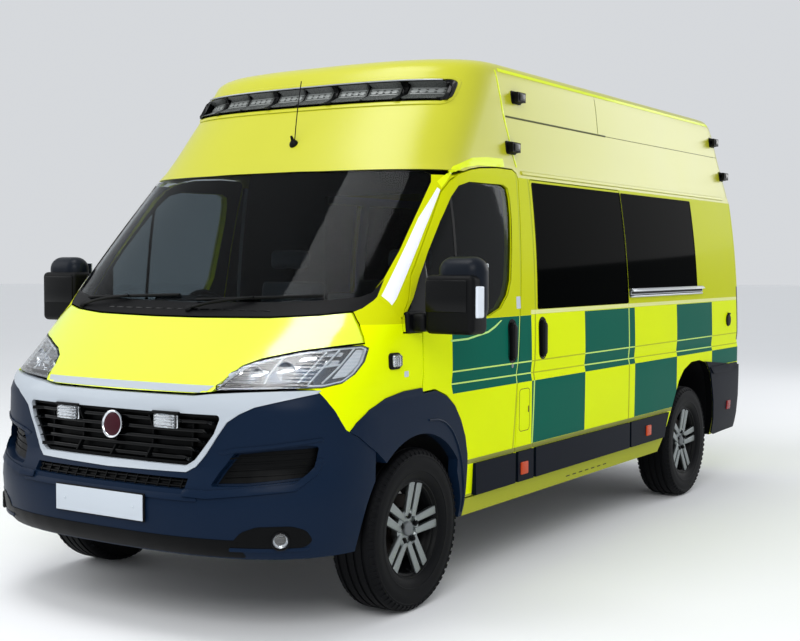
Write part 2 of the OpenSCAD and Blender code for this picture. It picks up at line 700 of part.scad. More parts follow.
module wheel_front_right() flip() left_front() wheel();
module wheel_rear_left() left_rear() wheel();
module wheel_rear_right() flip() left_rear() wheel();
module tyre_front_left() left_front() tyre();
module tyre_front_right() flip() left_front() tyre();
module tyre_rear_left() left_rear() tyre();
module tyre_rear_right() flip() left_rear() tyre();
// The knuckle turns on two pins in line, one above and one below the axle
king_x = track_f / 2 - 35;
king_r = 16;
king_top = axle_z + 92;
king_low = axle_z - 92;
king_pin = 40;
eye_h = 30;
module knuckle() color("slategray") difference() {
    union() {
        beam(king_x - 30, -42, king_low, 60, 84, king_top - king_low);
        translate([king_x + 10, 0, axle_z]) rotate([0, 90, 0])
            cylinder(r = stub_r, h = track_f / 2 + hub_in + stub_len - 2 - king_x - 10, $fn = 64);
        translate([king_x, 0, king_low - king_pin])
            cylinder(r = king_r, h = king_top - king_low + 2 * king_pin, $fn = 48);
    }
}
module knuckle_left() knuckle();
module knuckle_right() flip() knuckle();
strut_x = 700;
strut_r = 30;
module eye(z) difference() {
    union() {
        translate([king_x, 0, z]) cylinder(r = 30, h = eye_h, $fn = 48);
        beam(strut_x, -25, z, king_x - strut_x, 50, eye_h);
    }
    translate([king_x, 0, z - 1]) cylinder(r = king_r + run, h = eye_h + 2, $fn = 48);
}
module front_suspension() color("#33363a") {
    both() {
        eye(king_top + 6);
        eye(king_low - 6 - eye_h);
        translate([strut_x, 0, king_top + 6]) cylinder(r = strut_r, h = tower_z - seam - king_top - 6,
            $fn = 48);
        beam(360, -45, king_low - 6 - eye_h, strut_x + 1 - 360, 90, eye_h);
        beam(rail_x, -45, king_low - 6 - eye_h, rail_w, 90, 400 - seam - king_low + 6 + eye_h);
    }
    beam(-361, -60, king_low - 6 - eye_h, 722, 120, 60);
}
axle_r = 38;
module rear_axle() color("#33363a") {
    stub_end = track_r / 2 + hub_in + stub_len - 2;
    translate([-track_r / 2 + 100, wheelbase, axle_z]) rotate([0, 90, 0])
        cylinder(r = axle_r, h = track_r - 200, $fn = 64);
    translate([-stub_end, wheelbase, axle_z]) rotate([0, 90, 0])
        cylinder(r = stub_r, h = 2 * stub_end, $fn = 64);
    both() translate([track_r / 2 - 100, wheelbase, axle_z]) rotate([0, 90, 0])
        cylinder(r = 110, h = 60, $fn = 64);
    both() beam(spring_x - 40, wheelbase - 50, axle_z, 80, 100, axle_r + 6);
}
spring_t = 24;
spring_low = axle_z + axle_r + 6 + seam;
function spring_at(y) = spring_low
    + (hanger_z - seam - spring_t - spring_low) * pow((y - wheelbase) / 600, 2);
module leaf_springs() color("#33363a") both() side_cut(spring_x - 35, spring_x + 35) polygon(concat(
    [for (y = [spring_front:60:wheelbase]) [y, min(spring_at(y), hanger_z - seam - spring_t)]],
    [for (y = [wheelbase + 60:60:spring_rear]) [y, spring_at(y)]],
    [for (y = [spring_rear:-60:wheelbase]) [y, spring_at(y) + spring_t]],
    [for (y = [wheelbase - 60:-60:spring_front]) [y, min(spring_at(y), hanger_z - seam - spring_t)
        + spring_t]]));
module engine() color("gray") beam(-rail_x + seam, -640, 420, 2 * rail_x - 2 * seam, 410, 500);
module fuel_tank() color(black) translate([0, 1700, 0]) rotate([-90, 0, 0]) rotate([0, 0, 180])
    linear_extrude(640) polygon([[-110, 330], [-80, 300], [470, 300], [500, 330],
        [500, rail_z - 30], [480, rail_z - seam], [-90, rail_z - seam], [-110, rail_z - 30]]);
pipe_x = 260;
module exhaust() color("slategray") {
    translate([pipe_x, 2500, 400]) rotate([-90, 0, 0]) cylinder(r = 75, h = 620, $fn = 48);
    translate([pipe_x, 400, 400]) rotate([-90, 0, 0]) cylinder(r = 25, h = 2110, $fn = 32);
    for (y = [720, 2580]) beam(pipe_x - 10, y - 10, 400, 20, 60, rail_z + 20 - seam - 400);
}

// ---- inside ----
module dashboard() color("#2b2e33") {
    panel() intersection() {
        form(wall + seam);
        side_cut(-925, 925) polygon([[-158, 905], [-175 + seam, 935], [-175 + seam, 1290 + seam],
            [-330, 1318], [-330, 1352], [-120, 1362], [100, 1340], [176, 1290], [196, 1200],
            [180, 1080], [130, 985], [40, 905]]);
    }
    on_column() {
        translate([0, 0, -190]) cylinder(r = column_r, h = 190 - 32, $fn = 32);
        translate([0, 0, -190]) cylinder(r = column_r / 2, h = 186, $fn = 32);
    }
}
driver_x = -480;
wheel_y = 340;
wheel_z = 1250;
wheel_tilt = 28;
module on_column() translate([driver_x, wheel_y, wheel_z]) rotate([wheel_tilt - 90, 0, 0])
    children();
column_r = 24;
module steering_wheel() color(black) on_column() difference() {
    union() {
        rotate_extrude($fn = 64) translate([185, 0]) circle(r = 14, $fn = 24);
        translate([0, 0, -26]) cylinder(r = 62, h = 40, $fn = 48);
        for (a = [0, 180, 270]) rotate([0, 0, a]) translate([50, -16, -10]) cube([130, 32, 14]);
    }
    translate([0, 0, -27]) cylinder(r = column_r / 2 + run, h = 25, $fn = 32);
}
seat_z = 860;
module seat(x, y, w) translate([x - w / 2, y, 0]) {
    translate([60, 60, floor_z + seam]) cube([w - 120, 360, seat_z - floor_z]);
    hull() {
        translate([0, 0, seat_z]) cube([w, 480, 60]);
        translate([15, 15, seat_z]) cube([w - 30, 450, 120]);
    }
    translate([0, 420, 0]) side_cut(15, w - 15) polygon([[0, seat_z + 60], [130, seat_z + 40],
        [250, 1540], [180, 1640], [110, 1640], [90, 1500]]);
}
module seats() color("#3a4450") {
    seat(driver_x, 430, 500);
    seat(340, 430, 520);
    seat(-690, 2250, 440);
}
part_y = 1130;
part_t = 30;
module bulkhead() color("whitesmoke") panel() difference() {
    intersection() {
        form(wall + seam);
        beam(-far, part_y, floor_z + seam, 2 * far, part_t, far);
    }
    beam(-330, part_y - 10, 900, 660, part_t + 20, 1050);
}
stretcher_y = 1950;
stretcher_l = 1900;
module stretcher() color("gold") {
    beam(-285, stretcher_y, 900, 570, stretcher_l, 110);
    side_cut(-285, 285) polygon([[stretcher_y, 1000], [stretcher_y + 620, 1000],
        [stretcher_y + 560, 1020], [stretcher_y + 40, 1300], [stretcher_y, 1280]]);
    both() for (y = [150, stretcher_l - 230]) beam(225, stretcher_y + y, floor_z + seam, 40, 80, 310);
}
module lockers() color("whitesmoke") panel() intersection() {
    form(wall + seam);
    union() {
        beam(-far, 1400, floor_z + seam, far - 620, 830, 680);
        beam(620, wheelbase - 1010, floor_z + seam, far, 400, 680);
        beam(620, wheelbase + 550, floor_z + seam, far, 400, 700);
        beam(-far, 1400, 2080, far - 700, 2900, 330);
    }
}
placed() underbody();
placed() arch_liners();
placed() roof_front();
placed() roof();
placed() windscreen_pillars();
placed() side_left();
placed() side_right();
placed() wings();
placed() bonnet();
placed() front_bumper();
placed() front_surround();
placed() grille();
placed() headlamps();
placed() scuttle();
placed() windscreen();
placed() cab_door_left();
placed() cab_door_right();
placed() cab_window_left();
placed() cab_window_right();
placed() mirror_left();
placed() mirror_right();
placed() sliding_door();
placed() side_windows();
placed() rear_door_left();
placed() rear_door_right();
placed() rear_window_left();
placed() rear_window_right();
placed() rear_lamps();
placed() rear_step();
placed() side_mouldings();
placed() arch_trims();
placed() slide_rail();
placed() light_bar();
placed() roof_lamps();
placed() dashboard();
placed() steering_wheel();
placed() seats();
placed() bulkhead();
placed() stretcher();
placed() lockers();
placed() engine();
placed() fuel_tank();
placed() exhaust();
placed() front_suspension();
placed() knuckle_left();
placed() knuckle_right();
placed() rear_axle();
placed() leaf_springs();
placed() wheel_front_left();
placed() wheel_front_right();
placed() wheel_rear_left();
placed() wheel_rear_right();
placed() tyre_front_left();
placed() tyre_front_right();
placed() tyre_rear_left();
placed() tyre_rear_right();
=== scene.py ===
"""A high-roof van ambulance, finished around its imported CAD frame."""

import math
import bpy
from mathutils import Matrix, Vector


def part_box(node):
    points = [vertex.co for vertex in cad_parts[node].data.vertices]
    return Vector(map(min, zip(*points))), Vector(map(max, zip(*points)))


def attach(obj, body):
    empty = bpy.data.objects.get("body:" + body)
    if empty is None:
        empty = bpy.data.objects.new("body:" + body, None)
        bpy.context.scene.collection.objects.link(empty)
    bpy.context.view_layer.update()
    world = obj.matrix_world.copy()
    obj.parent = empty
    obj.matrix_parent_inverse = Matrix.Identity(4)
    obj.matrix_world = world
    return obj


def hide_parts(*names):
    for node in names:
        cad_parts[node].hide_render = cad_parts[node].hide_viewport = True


bl_info = {
    "name": "High-roof ambulance",
    "version": (1, 0, 0),
    "blender": (4, 5, 0),
    "location": "3D View > Sidebar > Ambulance",
    "description": "Builds the finishes and the fine pieces of a high-roof van ambulance",
    "category": "Object",
}

import bmesh
import bpy
from mathutils import Matrix, Vector
from mathutils.bvhtree import BVHTree

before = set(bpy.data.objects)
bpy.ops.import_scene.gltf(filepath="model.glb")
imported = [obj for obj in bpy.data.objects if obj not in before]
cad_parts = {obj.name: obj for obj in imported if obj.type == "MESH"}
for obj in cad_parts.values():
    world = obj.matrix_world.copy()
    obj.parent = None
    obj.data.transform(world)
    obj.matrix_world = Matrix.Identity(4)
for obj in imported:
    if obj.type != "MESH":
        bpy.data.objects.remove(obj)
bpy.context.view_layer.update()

# Shapes are worked in millimetres from the front axle: x to the vehicle's left, y rearwards, z up.
tyre_low, tyre_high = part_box("tyre_front_left")
AXLE_Y = (tyre_low.y + tyre_high.y) / 2
AXLE_Z = (tyre_low.z + tyre_high.z) / 2 * 1000
HUB_X = (tyre_low.x + tyre_high.x) / 2 * 1000
TYRE_R = (tyre_high.z - tyre_low.z) / 2 * 1000
TYRE_W = (tyre_high.x - tyre_low.x) * 1000
REAR_HUB_X = sum(c.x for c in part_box("tyre_rear_left")) * 500
WHEELBASE = sum(c.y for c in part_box("tyre_rear_left")) * 500 - AXLE_Y * 1000
TO_FRAME = Matrix.Translation((0, AXLE_Y, 0)) @ Matrix.Scale(0.001, 4)
TO_MM = TO_FRAME.inverted()
BODY = "body"
FLOOR_Z = 600


# ---- materials ----
def linear(hex_colour):
    """An sRGB hex colour as linear red, green, blue and alpha."""
    parts = [int(hex_colour[i:i + 2], 16) / 255 for i in (1, 3, 5)]
    return [p / 12.92 if p <= 0.04045 else ((p + 0.055) / 1.055) ** 2.4 for p in parts] + [1]


def feed(tree, node, inputs):
    """Set a node's inputs, each from a value, another node's first output or a socket."""
    for key, value in inputs.items():
        if isinstance(value, bpy.types.Node):
            value = value.outputs[0]
        if isinstance(value, bpy.types.NodeSocket):
            tree.links.new(value, node.inputs[key])
        else:
            node.inputs[key].default_value = value


def add(tree, kind, inputs=None, **settings):
    """Add one shader node with its settings, and its inputs as values or links."""
    made = tree.nodes.new("ShaderNode" + kind)
    for key, value in settings.items():
        setattr(made, key, value)
    feed(tree, made, inputs or {})
    return made


def start(name, **surface):
    """A new material with a principled surface; surface gives its constants by socket name."""
    made = bpy.data.materials.new(name)
    made.use_nodes = True
    tree = made.node_tree
    tree.nodes.clear()
    values = {key.replace("_", " ").title().replace("Ior", "IOR"): v for key, v in surface.items()}
    shader = add(tree, "BsdfPrincipled", values)
    add(tree, "OutputMaterial", {"Surface": shader})
    return made, tree, shader


def object_place(tree):
    return add(tree, "TexCoord").outputs["Object"]


def mottle(tree, shader, colour, size_mm, spread, bump=0.0, rough=None, detail=3.0):
    """Vary colour, roughness and height with noise whose lumps are size_mm across."""
    noise = add(tree, "TexNoise", {"Vector": object_place(tree), "Scale": 1000 / size_mm,
        "Detail": detail})
    noise = noise.outputs["Fac"]
    if spread:
        dark = add(tree, "MixRGB", {0: 1.0, 1: colour, 2: (1 - spread,) * 3 + (1,)},
            blend_type="MULTIPLY")
        colour = add(tree, "MixRGB", {0: noise, 1: dark, 2: colour})
    looks = {"Base Color": colour}
    if rough:
        looks["Roughness"] = add(tree, "MapRange", {"Value": noise, "To Min": rough[0],
            "To Max": rough[1]})
    if bump:
        looks["Normal"] = add(tree, "Bump", {"Height": noise, "Strength": 1.0,
            "Distance": bump / 1000})
    feed(tree, shader, looks)


def within(tree, value, low, high):
    """1 where value lies between low and high, each a number or a socket."""
    above = add(tree, "Math", {0: value, 1: low}, operation="GREATER_THAN")
    below = add(tree, "Math", {0: value, 1: high}, operation="LESS_THAN")
    return both_of(tree, above, below)


def both_of(tree, a, b):
    return add(tree, "Math", {0: a, 1: b}, operation="MULTIPLY")


def any_of(tree, masks):
    total = masks[0]
    for mask in masks[1:]:
        total = add(tree, "Math", {0: total, 1: mask}, operation="MAXIMUM")
    return total


# Heights of the film's top edge and its low horizontal cut, and half a cut's width, in metres
FILM_TOP, LOW_CUT, HALF_CUT = 1.302, 1.061, 0.0035
# Green squares: front, rear, low and high edges in millimetres from the front axle
GREEN_SQUARES = [(290, 1100, 958, 1300), (1759, 2482, 958, 1300), (3192, 3874, 958, 1300),
    (1100, 1759, 630, 958), (2482, 3192, 630, 958), (3874, 5000, 850, 958)]
# The doors' edges, where the film is cut: y and z of a point in millimetres, and the slant
DOOR_EDGES = [(940, 1000, 0.117), (1131, 1000, 0.052), (2392, 1000, 0.0)]


def livery(settings):
    """Car paint under cut retroreflective film: bright yellow and green squares whose edges show
    the paint beneath as thin pale lines, clear-coated and very slightly rippled. A grey band above
    the side moulding is painted shade, and a pale band on the saloon's window ledge a painted
    highlight. Faces that look inwards are the cab's dark trim and the saloon's white lining."""
    made, tree, shader = start("painted steel with retroreflective film", roughness=0.42,
        coat_weight=0.02, coat_roughness=0.1, specular_ior_level=0.02)

    def worked(operation, *values):
        return add(tree, "Math", dict(enumerate(values)), operation=operation)

    def over(mask, below, above):
        return add(tree, "MixRGB", {0: mask, 1: below, 2: above})

    where = add(tree, "SeparateXYZ", {0: object_place(tree)})
    side, along, up = worked("ABSOLUTE", where), where.outputs[1], where.outputs[2]
    on_side = worked("GREATER_THAN", side, 0.9)
    saloon = worked("GREATER_THAN", along, 1.1 + AXLE_Y)
    squares = [both_of(tree, within(tree, along, y0 / 1000 + AXLE_Y, y1 / 1000 + AXLE_Y),
        within(tree, up, z0 / 1000, z1 / 1000)) for y0, y1, z0, z1 in GREEN_SQUARES]
    in_square = both_of(tree, any_of(tree, squares), on_side)
    lean = add(tree, "MapRange", {"Value": along, "From Min": AXLE_Y + 0.3, "From Max": AXLE_Y + 4,
        "To Min": 1.003, "To Max": 0.985})
    cuts = [within(tree, up, LOW_CUT - HALF_CUT, LOW_CUT + HALF_CUT), within(tree,
        worked("SUBTRACT", up, lean), -HALF_CUT, HALF_CUT)]
    for y, z, slant in DOOR_EDGES:
        middle = y / 1000 + AXLE_Y - slant * z / 1000
        cuts.append(within(tree, worked("MULTIPLY_ADD", up, -slant, along), middle - 2 * HALF_CUT,
            middle + 2 * HALF_CUT))
    bare = both_of(tree, any_of(tree, cuts), worked("GREATER_THAN", along, 0.29 + AXLE_Y))
    green = both_of(tree, in_square, worked("SUBTRACT", 1.0, bare))
    colour = over(worked("LESS_THAN", up, FILM_TOP), linear(settings.paint_hex),
        linear(settings.film_hex))
    colour = over(both_of(tree, bare, on_side), colour, over(in_square, linear("#b3bd22"),
        linear("#cdf07a")))
    # A grey band just above the side moulding, 607 to 629 mm up: painted shade of the fold there.
    colour = over(both_of(tree, within(tree, up, 0.607, 0.629), on_side), colour,
        linear("#8f9247"))
    colour = over(both_of(tree, worked("LESS_THAN", up, 0.46), on_side), colour, linear("#a8ad32"))
    # A pale band along the saloon's window ledge: a painted highlight, the ledge catching the
    # light.
    window_ledge_highlight = both_of(tree, within(tree, up, 1.304, 1.326), saloon)
    colour = over(both_of(tree, window_ledge_highlight, on_side), colour, linear("#e6ea9c"))
    colour = over(green, colour, linear(settings.green_hex))
    facing = add(tree, "SeparateXYZ", {0: add(tree, "NewGeometry").outputs["Normal"]})
    edge_on = worked("LESS_THAN", worked("ABSOLUTE", facing), 0.35)
    rear_axle = WHEELBASE / 1000 + AXLE_Y
    by_wheel = within(tree, along, rear_axle - 0.52, rear_axle + 0.52)
    flange = both_of(tree, both_of(tree, edge_on, worked("LESS_THAN", up, 0.93)), by_wheel)
    colour = over(flange, colour, linear("#08090a"))
    inner = add(tree, "SeparateXYZ", {0: add(tree, "TexCoord").outputs["Normal"]})
    inwards = worked("LESS_THAN", worked("MULTIPLY", inner, worked("SIGN", where)), -0.5)
    colour = over(inwards, colour, over(saloon, linear("#26292d"), linear("#c9cdd0")))
    mottle(tree, shader, colour, 400, 0.05, bump=0.15, rough=(0.3, 0.42), detail=1.0)
    return made


def car_paint(name, hex_colour, coat=0.3, coat_roughness=0.1, coat_ior=1.5):
    """Solid colour enamel under clear coat, with the faint long ripple of a sprayed panel."""
    made, tree, shader = start(name, roughness=0.4, coat_weight=coat,
        coat_roughness=coat_roughness, coat_ior=coat_ior, specular_ior_level=0.05)
    mottle(tree, shader, linear(hex_colour), 420, 0.08, bump=0.15, rough=(0.33, 0.45), detail=1.0)
    return made


def livery_bonnet(settings):
    """The bonnet's film under a fresh, polished clear coat, which shows the lamps as bright
    patches along its shoulders."""
    return car_paint("polished film on the bonnet", settings.film_hex, 1.0, 0.12, 2.0)


def moulded(name, hex_colour, grain_mm=2.5, bump=0.12, rough=(0.42, 0.6), spread=0.2, shine=0.12):
    """Injection-moulded plastic with a leather-like grain, dull and slightly uneven in gloss."""
    made, tree, shader = start(name, specular_ior_level=shine)
    mottle(tree, shader, linear(hex_colour), grain_mm, spread, bump=bump, rough=rough)
    return made


def metal(name, hex_colour, rough, grain_mm=6, bump=0.05, spread=0.12, coat=0.0):
    """Bare or lacquered metal with fine casting or rolling marks that break its reflections."""
    made, tree, shader = start(name, metallic=1.0, coat_weight=coat)
    mottle(tree, shader, linear(hex_colour), grain_mm, spread, bump=bump, rough=rough)
    return made


def glazing(name, hex_colour, through, rough=0.02, shine=0.5, ior=1.5):
    """Tinted toughened glass: its own tint, with clean reflections of the sky."""
    made, tree, shader = start(name, roughness=rough, transmission_weight=through, ior=ior,
        specular_ior_level=shine)
    mottle(tree, shader, linear(hex_colour), 900, 0.15, rough=(rough, rough + 0.02), detail=1.0)
    return made


# A wave texture's bands are this many millimetres wide at scale 1
WAVE_MM = 1000 / 6.3


def lens(name, hex_colour, rib_mm=6, through=0.85):
    """Clear or coloured polycarbonate lens with moulded ribs on its inside."""
    made, tree, shader = start(name, roughness=0.08, transmission_weight=through, ior=1.5)
    wave = add(tree, "TexWave", {"Vector": object_place(tree), "Scale": WAVE_MM / rib_mm,
        "Distortion": 0.0}, bands_direction="Z").outputs["Fac"]
    feed(tree, shader, {"Base Color": add(tree, "MixRGB", {0: wave, 1: linear(hex_colour),
        2: (1, 1, 1, 1)}), "Normal": add(tree, "Bump", {"Height": wave, "Distance": 0.0006})})
    return made


def woven(name, hex_colour, thread_mm=3.0):
    """Coated upholstery fabric: crossed threads under a soft vinyl face, with a slight sheen."""
    made, tree, shader = start(name, roughness=0.62, sheen_weight=0.2)
    place = object_place(tree)
    waves = [add(tree, "TexWave", {"Vector": place, "Scale": WAVE_MM / thread_mm,
        "Distortion": 0.4}, bands_direction=way) for way in "XZ"]
    weave = add(tree, "Math", {0: waves[0].outputs["Fac"], 1: waves[1].outputs["Fac"]},
        operation="MULTIPLY")
    shade = add(tree, "MixRGB", {0: weave, 1: linear(hex_colour), 2: (1, 1, 1, 1)})
    feed(tree, shader, {"Base Color": add(tree, "MixRGB", {0: 0.25, 1: linear(hex_colour),
        2: shade}), "Normal": add(tree, "Bump", {"Height": weave, "Distance": 0.0004})})
    return made


FINISHES = {}


def finish(name):
    return FINISHES[name]


def make_finishes(colours):
    """Every finish of the vehicle, by the short name that the pieces ask for."""
    FINISHES.update(
        livery=livery(colours),
        roof=car_paint("sprayed fibreglass roof", colours.roof_hex, 0.8, 0.3, 1.5),
        bonnet=livery_bonnet(colours),
        silver=car_paint("silver lacquered plastic", colours.silver_hex),
        # White film on the A-pillars, partly real film and partly a painted highlight of the sky
        # along the pillar.
        white=car_paint("white film with the pillar's painted highlight", "#eef0f4"),
        bumper=moulded("grained polypropylene bumper", colours.plastic_hex, 3.0,
                       rough=(0.3, 0.42), shine=0.07),
        cladding=moulded("black-blue polypropylene cladding", "#0b111d", 3.0,
                         rough=(0.35, 0.5), shine=0.04),
        black=moulded("black moulded plastic", "#050608", 2.5, spread=0.3),
        gloss_black=moulded("polished black plastic", "#020304", 300, bump=0.0,
                            rough=(0.12, 0.2), shine=0.2),
        mesh=moulded("black grille plastic", "#030405", 2.0, rough=(0.35, 0.5), shine=0.08),
        dash=moulded("slush-moulded dashboard skin", "#23262b", 2.0),
        lining=moulded("white saloon lining", "#c9cdd0", 4.0, spread=0.06),
        rubber=moulded("tyre rubber", "#06070a", 4.0, bump=0.2, rough=(0.5, 0.7), spread=0.35,
                       shine=0.1),
        seal=moulded("weatherstrip rubber", "#090a0b", 5.0),
        alloy=metal("silver-painted cast alloy", "#8f9595", (0.35, 0.5), coat=0.1),
        chassis=moulded("wax-coated chassis steel", "#1b1c1e", 12.0, bump=0.3, rough=(0.5, 0.75)),
        exhaust=metal("stained stainless steel", "#6d655c", (0.35, 0.6), grain_mm=30),
        chrome=metal("vacuum-plated chrome", "#dde1e6", (0.04, 0.1), bump=0.0),
        rail=metal("anodised aluminium rail", "#b9bdc1", (0.25, 0.35)),
        screen=glazing("laminated tinted windscreen", "#a3acb0", 1.0, ior=1.12),
        door_glass=glazing("tinted door glass", "#7f8a8f", 1.0, ior=1.15),
        privacy=glazing("black privacy glass", "#010202", 0.0, rough=0.05, shine=0.002),
        clear=lens("clear polycarbonate lens", "#f4f8fa", 7, 0.97),
        amber=lens("amber lens", "#e86a12", 5, 0.4),
        red=lens("red lens", "#b3100f", 6, 0.35),
        plate=moulded("blank reflective plate", "#c3cbd3", 1.2, bump=0.02, spread=0.06),
        vinyl=woven("navy seat vinyl", "#1d2836"),
        pad=woven("stretcher vinyl", "#20242b", 4.0),
        film=car_paint("bright yellow film", colours.film_hex),
        badge=moulded("maroon enamelled disc", "#3d1720", 300, bump=0.0, rough=(0.12, 0.2)),
        lamp_case=metal("dark blue metallised lamp case", "#2f4258", (0.3, 0.45), bump=0.0),
        lamp_smoke=moulded("smoked lamp lens", "#4a4a46", 4, bump=0.1, rough=(0.2, 0.3),
                           shine=0.3),
        film_line=moulded("pale edge of the film", "#bff08a", 4, bump=0.0),
        bar_lens=moulded("smoked prismatic lamp lens", "#4b4e4c", 6, bump=0.2, rough=(0.2, 0.35),
                         spread=0.35, shine=0.35),
        bar_rib=moulded("clear ribs of the lamp lens", "#8c908e", 5, bump=0.1, rough=(0.2, 0.3),
                        spread=0.3, shine=0.4),
        reflex=moulded("amber reflex reflector", "#c8461a", 5, bump=0.1, rough=(0.2, 0.3)),
        reflex_red=moulded("red reflex reflector", "#8c1616", 5, bump=0.1, rough=(0.2, 0.3)),
        guide=moulded("frosted light guide", "#dfe6ee", 4.0, bump=0.0, rough=(0.15, 0.25),
                      spread=0.05),
        mirror_cap=moulded("navy moulded mirror cap", "#10161f", 3.0, rough=(0.3, 0.42)),
        mirror_glass=metal("silvered mirror glass", "#dfe5ea", (0.02, 0.04), bump=0.0),
        # Near-black rim barrel: painted shade for the dark seen between the spokes.
        rim_dark=moulded("near-black rim enamel as painted shade between spokes", "#060708", 8.0, rough=(0.45, 0.6)),
        cap_grey=moulded("grey centre cap", "#6d7173", 3.0, rough=(0.35, 0.5)),
        disc=metal("rust-filmed brake disc", "#2c2724", (0.45, 0.6), grain_mm=4),
        dark_line=moulded("dark joint sealant", "#4c4f16", 3.0, bump=0.0),
        stretcher_paint=moulded("powder-coated tube", "#d9b514", 3.0, rough=(0.3, 0.4)),
    )


# ---- making and shaping meshes ----
# How a flat shape is seen before it is laid on the vehicle: the axis it looks along, and its side
SEEN_FROM = {"front": (1, -1), "rear": (1, 1), "left": (0, 1), "top": (2, 1)}
SURFACES = {}
BESIDE = [(0, 0)] + [(reach * a, reach * b) for reach in (8, 20, 36) for a,
    b in ((1, 0), (-1, 0), (0, 1), (0, -1))]


def cad_copy(*nodes):
    """The merged meshes of CAD nodes, in millimetres from the front axle."""
    bm = bmesh.new()
    for node in nodes:
        bm.from_mesh(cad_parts[node].data)
    bmesh.ops.remove_doubles(bm, verts=bm.verts, dist=2e-5)
    bm.transform(TO_MM)
    return bm


def touch(spot, way, nodes):
    """How deep the CAD surface lies under a spot; over a gap, the nearest edge beside it."""
    if nodes not in SURFACES:
        bm = cad_copy(*nodes)
        SURFACES[nodes] = BVHTree.FromBMesh(bm)
        bm.free()
    axis, side = SEEN_FROM[way]
    ray = Vector((0, 0, 0))
    ray[axis] = -side
    depths = []
    for shift in BESIDE:
        shift = list(shift)
        shift.insert(axis, 0)
        source = Vector(spot) + Vector(shift)
        source[axis] = side * 9000
        hit = SURFACES[nodes].ray_cast(source, ray)[0]
        depths.append(hit[axis] * side if hit else None)
        beside = [depth for depth in depths if depth is not None]
        if beside and len(depths) in (5, 9):
            break
    if not beside:
        raise RuntimeError(f"nothing of {nodes} under {tuple(spot)}")
    if depths[0] is None or max(beside) - depths[0] > 30:
        return max(beside) * side
    return depths[0] * side


def spot_on(a, b, way, nodes, lift=0.0):
    """The point of the CAD surface seen at a, b, lifted towards the viewer."""
    axis, side = SEEN_FROM[way]
    place = [a, b]
    place.insert(axis, 0.0)
    place[axis] = touch(place, way, nodes) + side * lift
    return Vector(place)


def outline(points, way, corner=0.0):
    """One flat face through the points as seen from one side, its corners rounded."""
    bm = bmesh.new()
    corners = []
    for point in points:
        place = list(point)
        place.insert(SEEN_FROM[way][0], 0.0)
        corners.append(bm.verts.new(place))
    bm.faces.new(corners)
    if corner:
        bmesh.ops.bevel(bm, geom=bm.verts[:], offset=corner, segments=4, profile=0.5,
            affect="VERTICES", material=-1)
    return bm


def box(a, b, width, height):
    """Corners of an upright rectangle about a, b."""
    return [(a - width / 2, b - height / 2), (a + width / 2, b - height / 2),
        (a + width / 2, b + height / 2), (a - width / 2, b + height / 2)]


def sliced(bm, step, axes=(0, 1, 2)):
    """Cut a flat shape every step millimetres, so that it can follow a curved panel."""
    for axis in axes:
        places = [vert.co[axis] for vert in bm.verts]
        low, high = min(places), max(places)
        cuts = int((high - low) / step)
        for i in range(cuts):
            at, way = Vector((0, 0, 0)), Vector((0, 0, 0))
            at[axis] = low + (i + 1) * (high - low) / (cuts + 1)
            way[axis] = 1
            bmesh.ops.bisect_plane(bm, geom=bm.verts[:] + bm.edges[:] + bm.faces[:], plane_co=at,
                plane_no=way, dist=1e-3)


def laid(bm, way, nodes, top, deep, edge=0.0, lean=None):
    """Lay a flat shape on the CAD surface, top above it and deep into it, with rounded edges.
    lean gives two heights and the extra lift at each."""
    axis, side = SEEN_FROM[way]
    for vert in bm.verts:
        lift = top
        if lean:
            z0, lift0, z1, lift1 = lean
            share = min(1, max(0, (vert.co.z - z0) / (z1 - z0)))
            lift += lift0 + share * (lift1 - lift0)
        vert.co[axis] = touch(vert.co, way, nodes) + side * lift
    made = bmesh.ops.extrude_face_region(bm, geom=bm.faces[:])
    moved = [part for part in made["geom"] if isinstance(part, bmesh.types.BMVert)]
    push = Vector((0, 0, 0))
    push[axis] = -side * (top + deep)
    bmesh.ops.translate(bm, verts=moved, vec=push)
    bmesh.ops.recalc_face_normals(bm, faces=bm.faces)
    if edge:
        backs = set(moved)
        rim = [e for e in bm.edges if e.is_manifold and e.calc_face_angle(0) > 0.9
            and e.verts[0] not in backs and e.verts[1] not in backs]
        bmesh.ops.bevel(bm, geom=rim, offset=edge, segments=3, profile=0.5, affect="EDGES",
            material=-1, clamp_overlap=True)
    return bm


def plaque(points, way, nodes, top, deep, corner=0.0, step=30, edge=0.0, lean=None,
        axes=(0, 1, 2)):
    bm = outline(points, way, corner)
    sliced(bm, step, axes)
    return laid(bm, way, nodes, top, deep, edge, lean)


def band_round(points, way, nodes, width, top, deep, corner=0.0, step=30, edge=0.0):
    """A rounded frame, width wide, along the inside of an outline."""
    bm = outline(points, way, corner)
    inner = bm.faces[:]
    bmesh.ops.inset_region(bm, faces=inner, thickness=width, use_boundary=True,
        use_even_offset=True)
    bmesh.ops.delete(bm, geom=inner, context="FACES")
    sliced(bm, step)
    return laid(bm, way, nodes, top, deep, edge)


def block(centre, size, corner=4.0, segments=3):
    """A moulded block with rounded edges."""
    bm = bmesh.new()
    bmesh.ops.create_cube(bm, size=1)
    bmesh.ops.scale(bm, vec=size, verts=bm.verts)
    bmesh.ops.bevel(bm, geom=bm.edges[:], offset=corner, segments=segments, profile=0.5,
        affect="EDGES", material=-1, clamp_overlap=True)
    bmesh.ops.translate(bm, vec=centre, verts=bm.verts)
    return bm


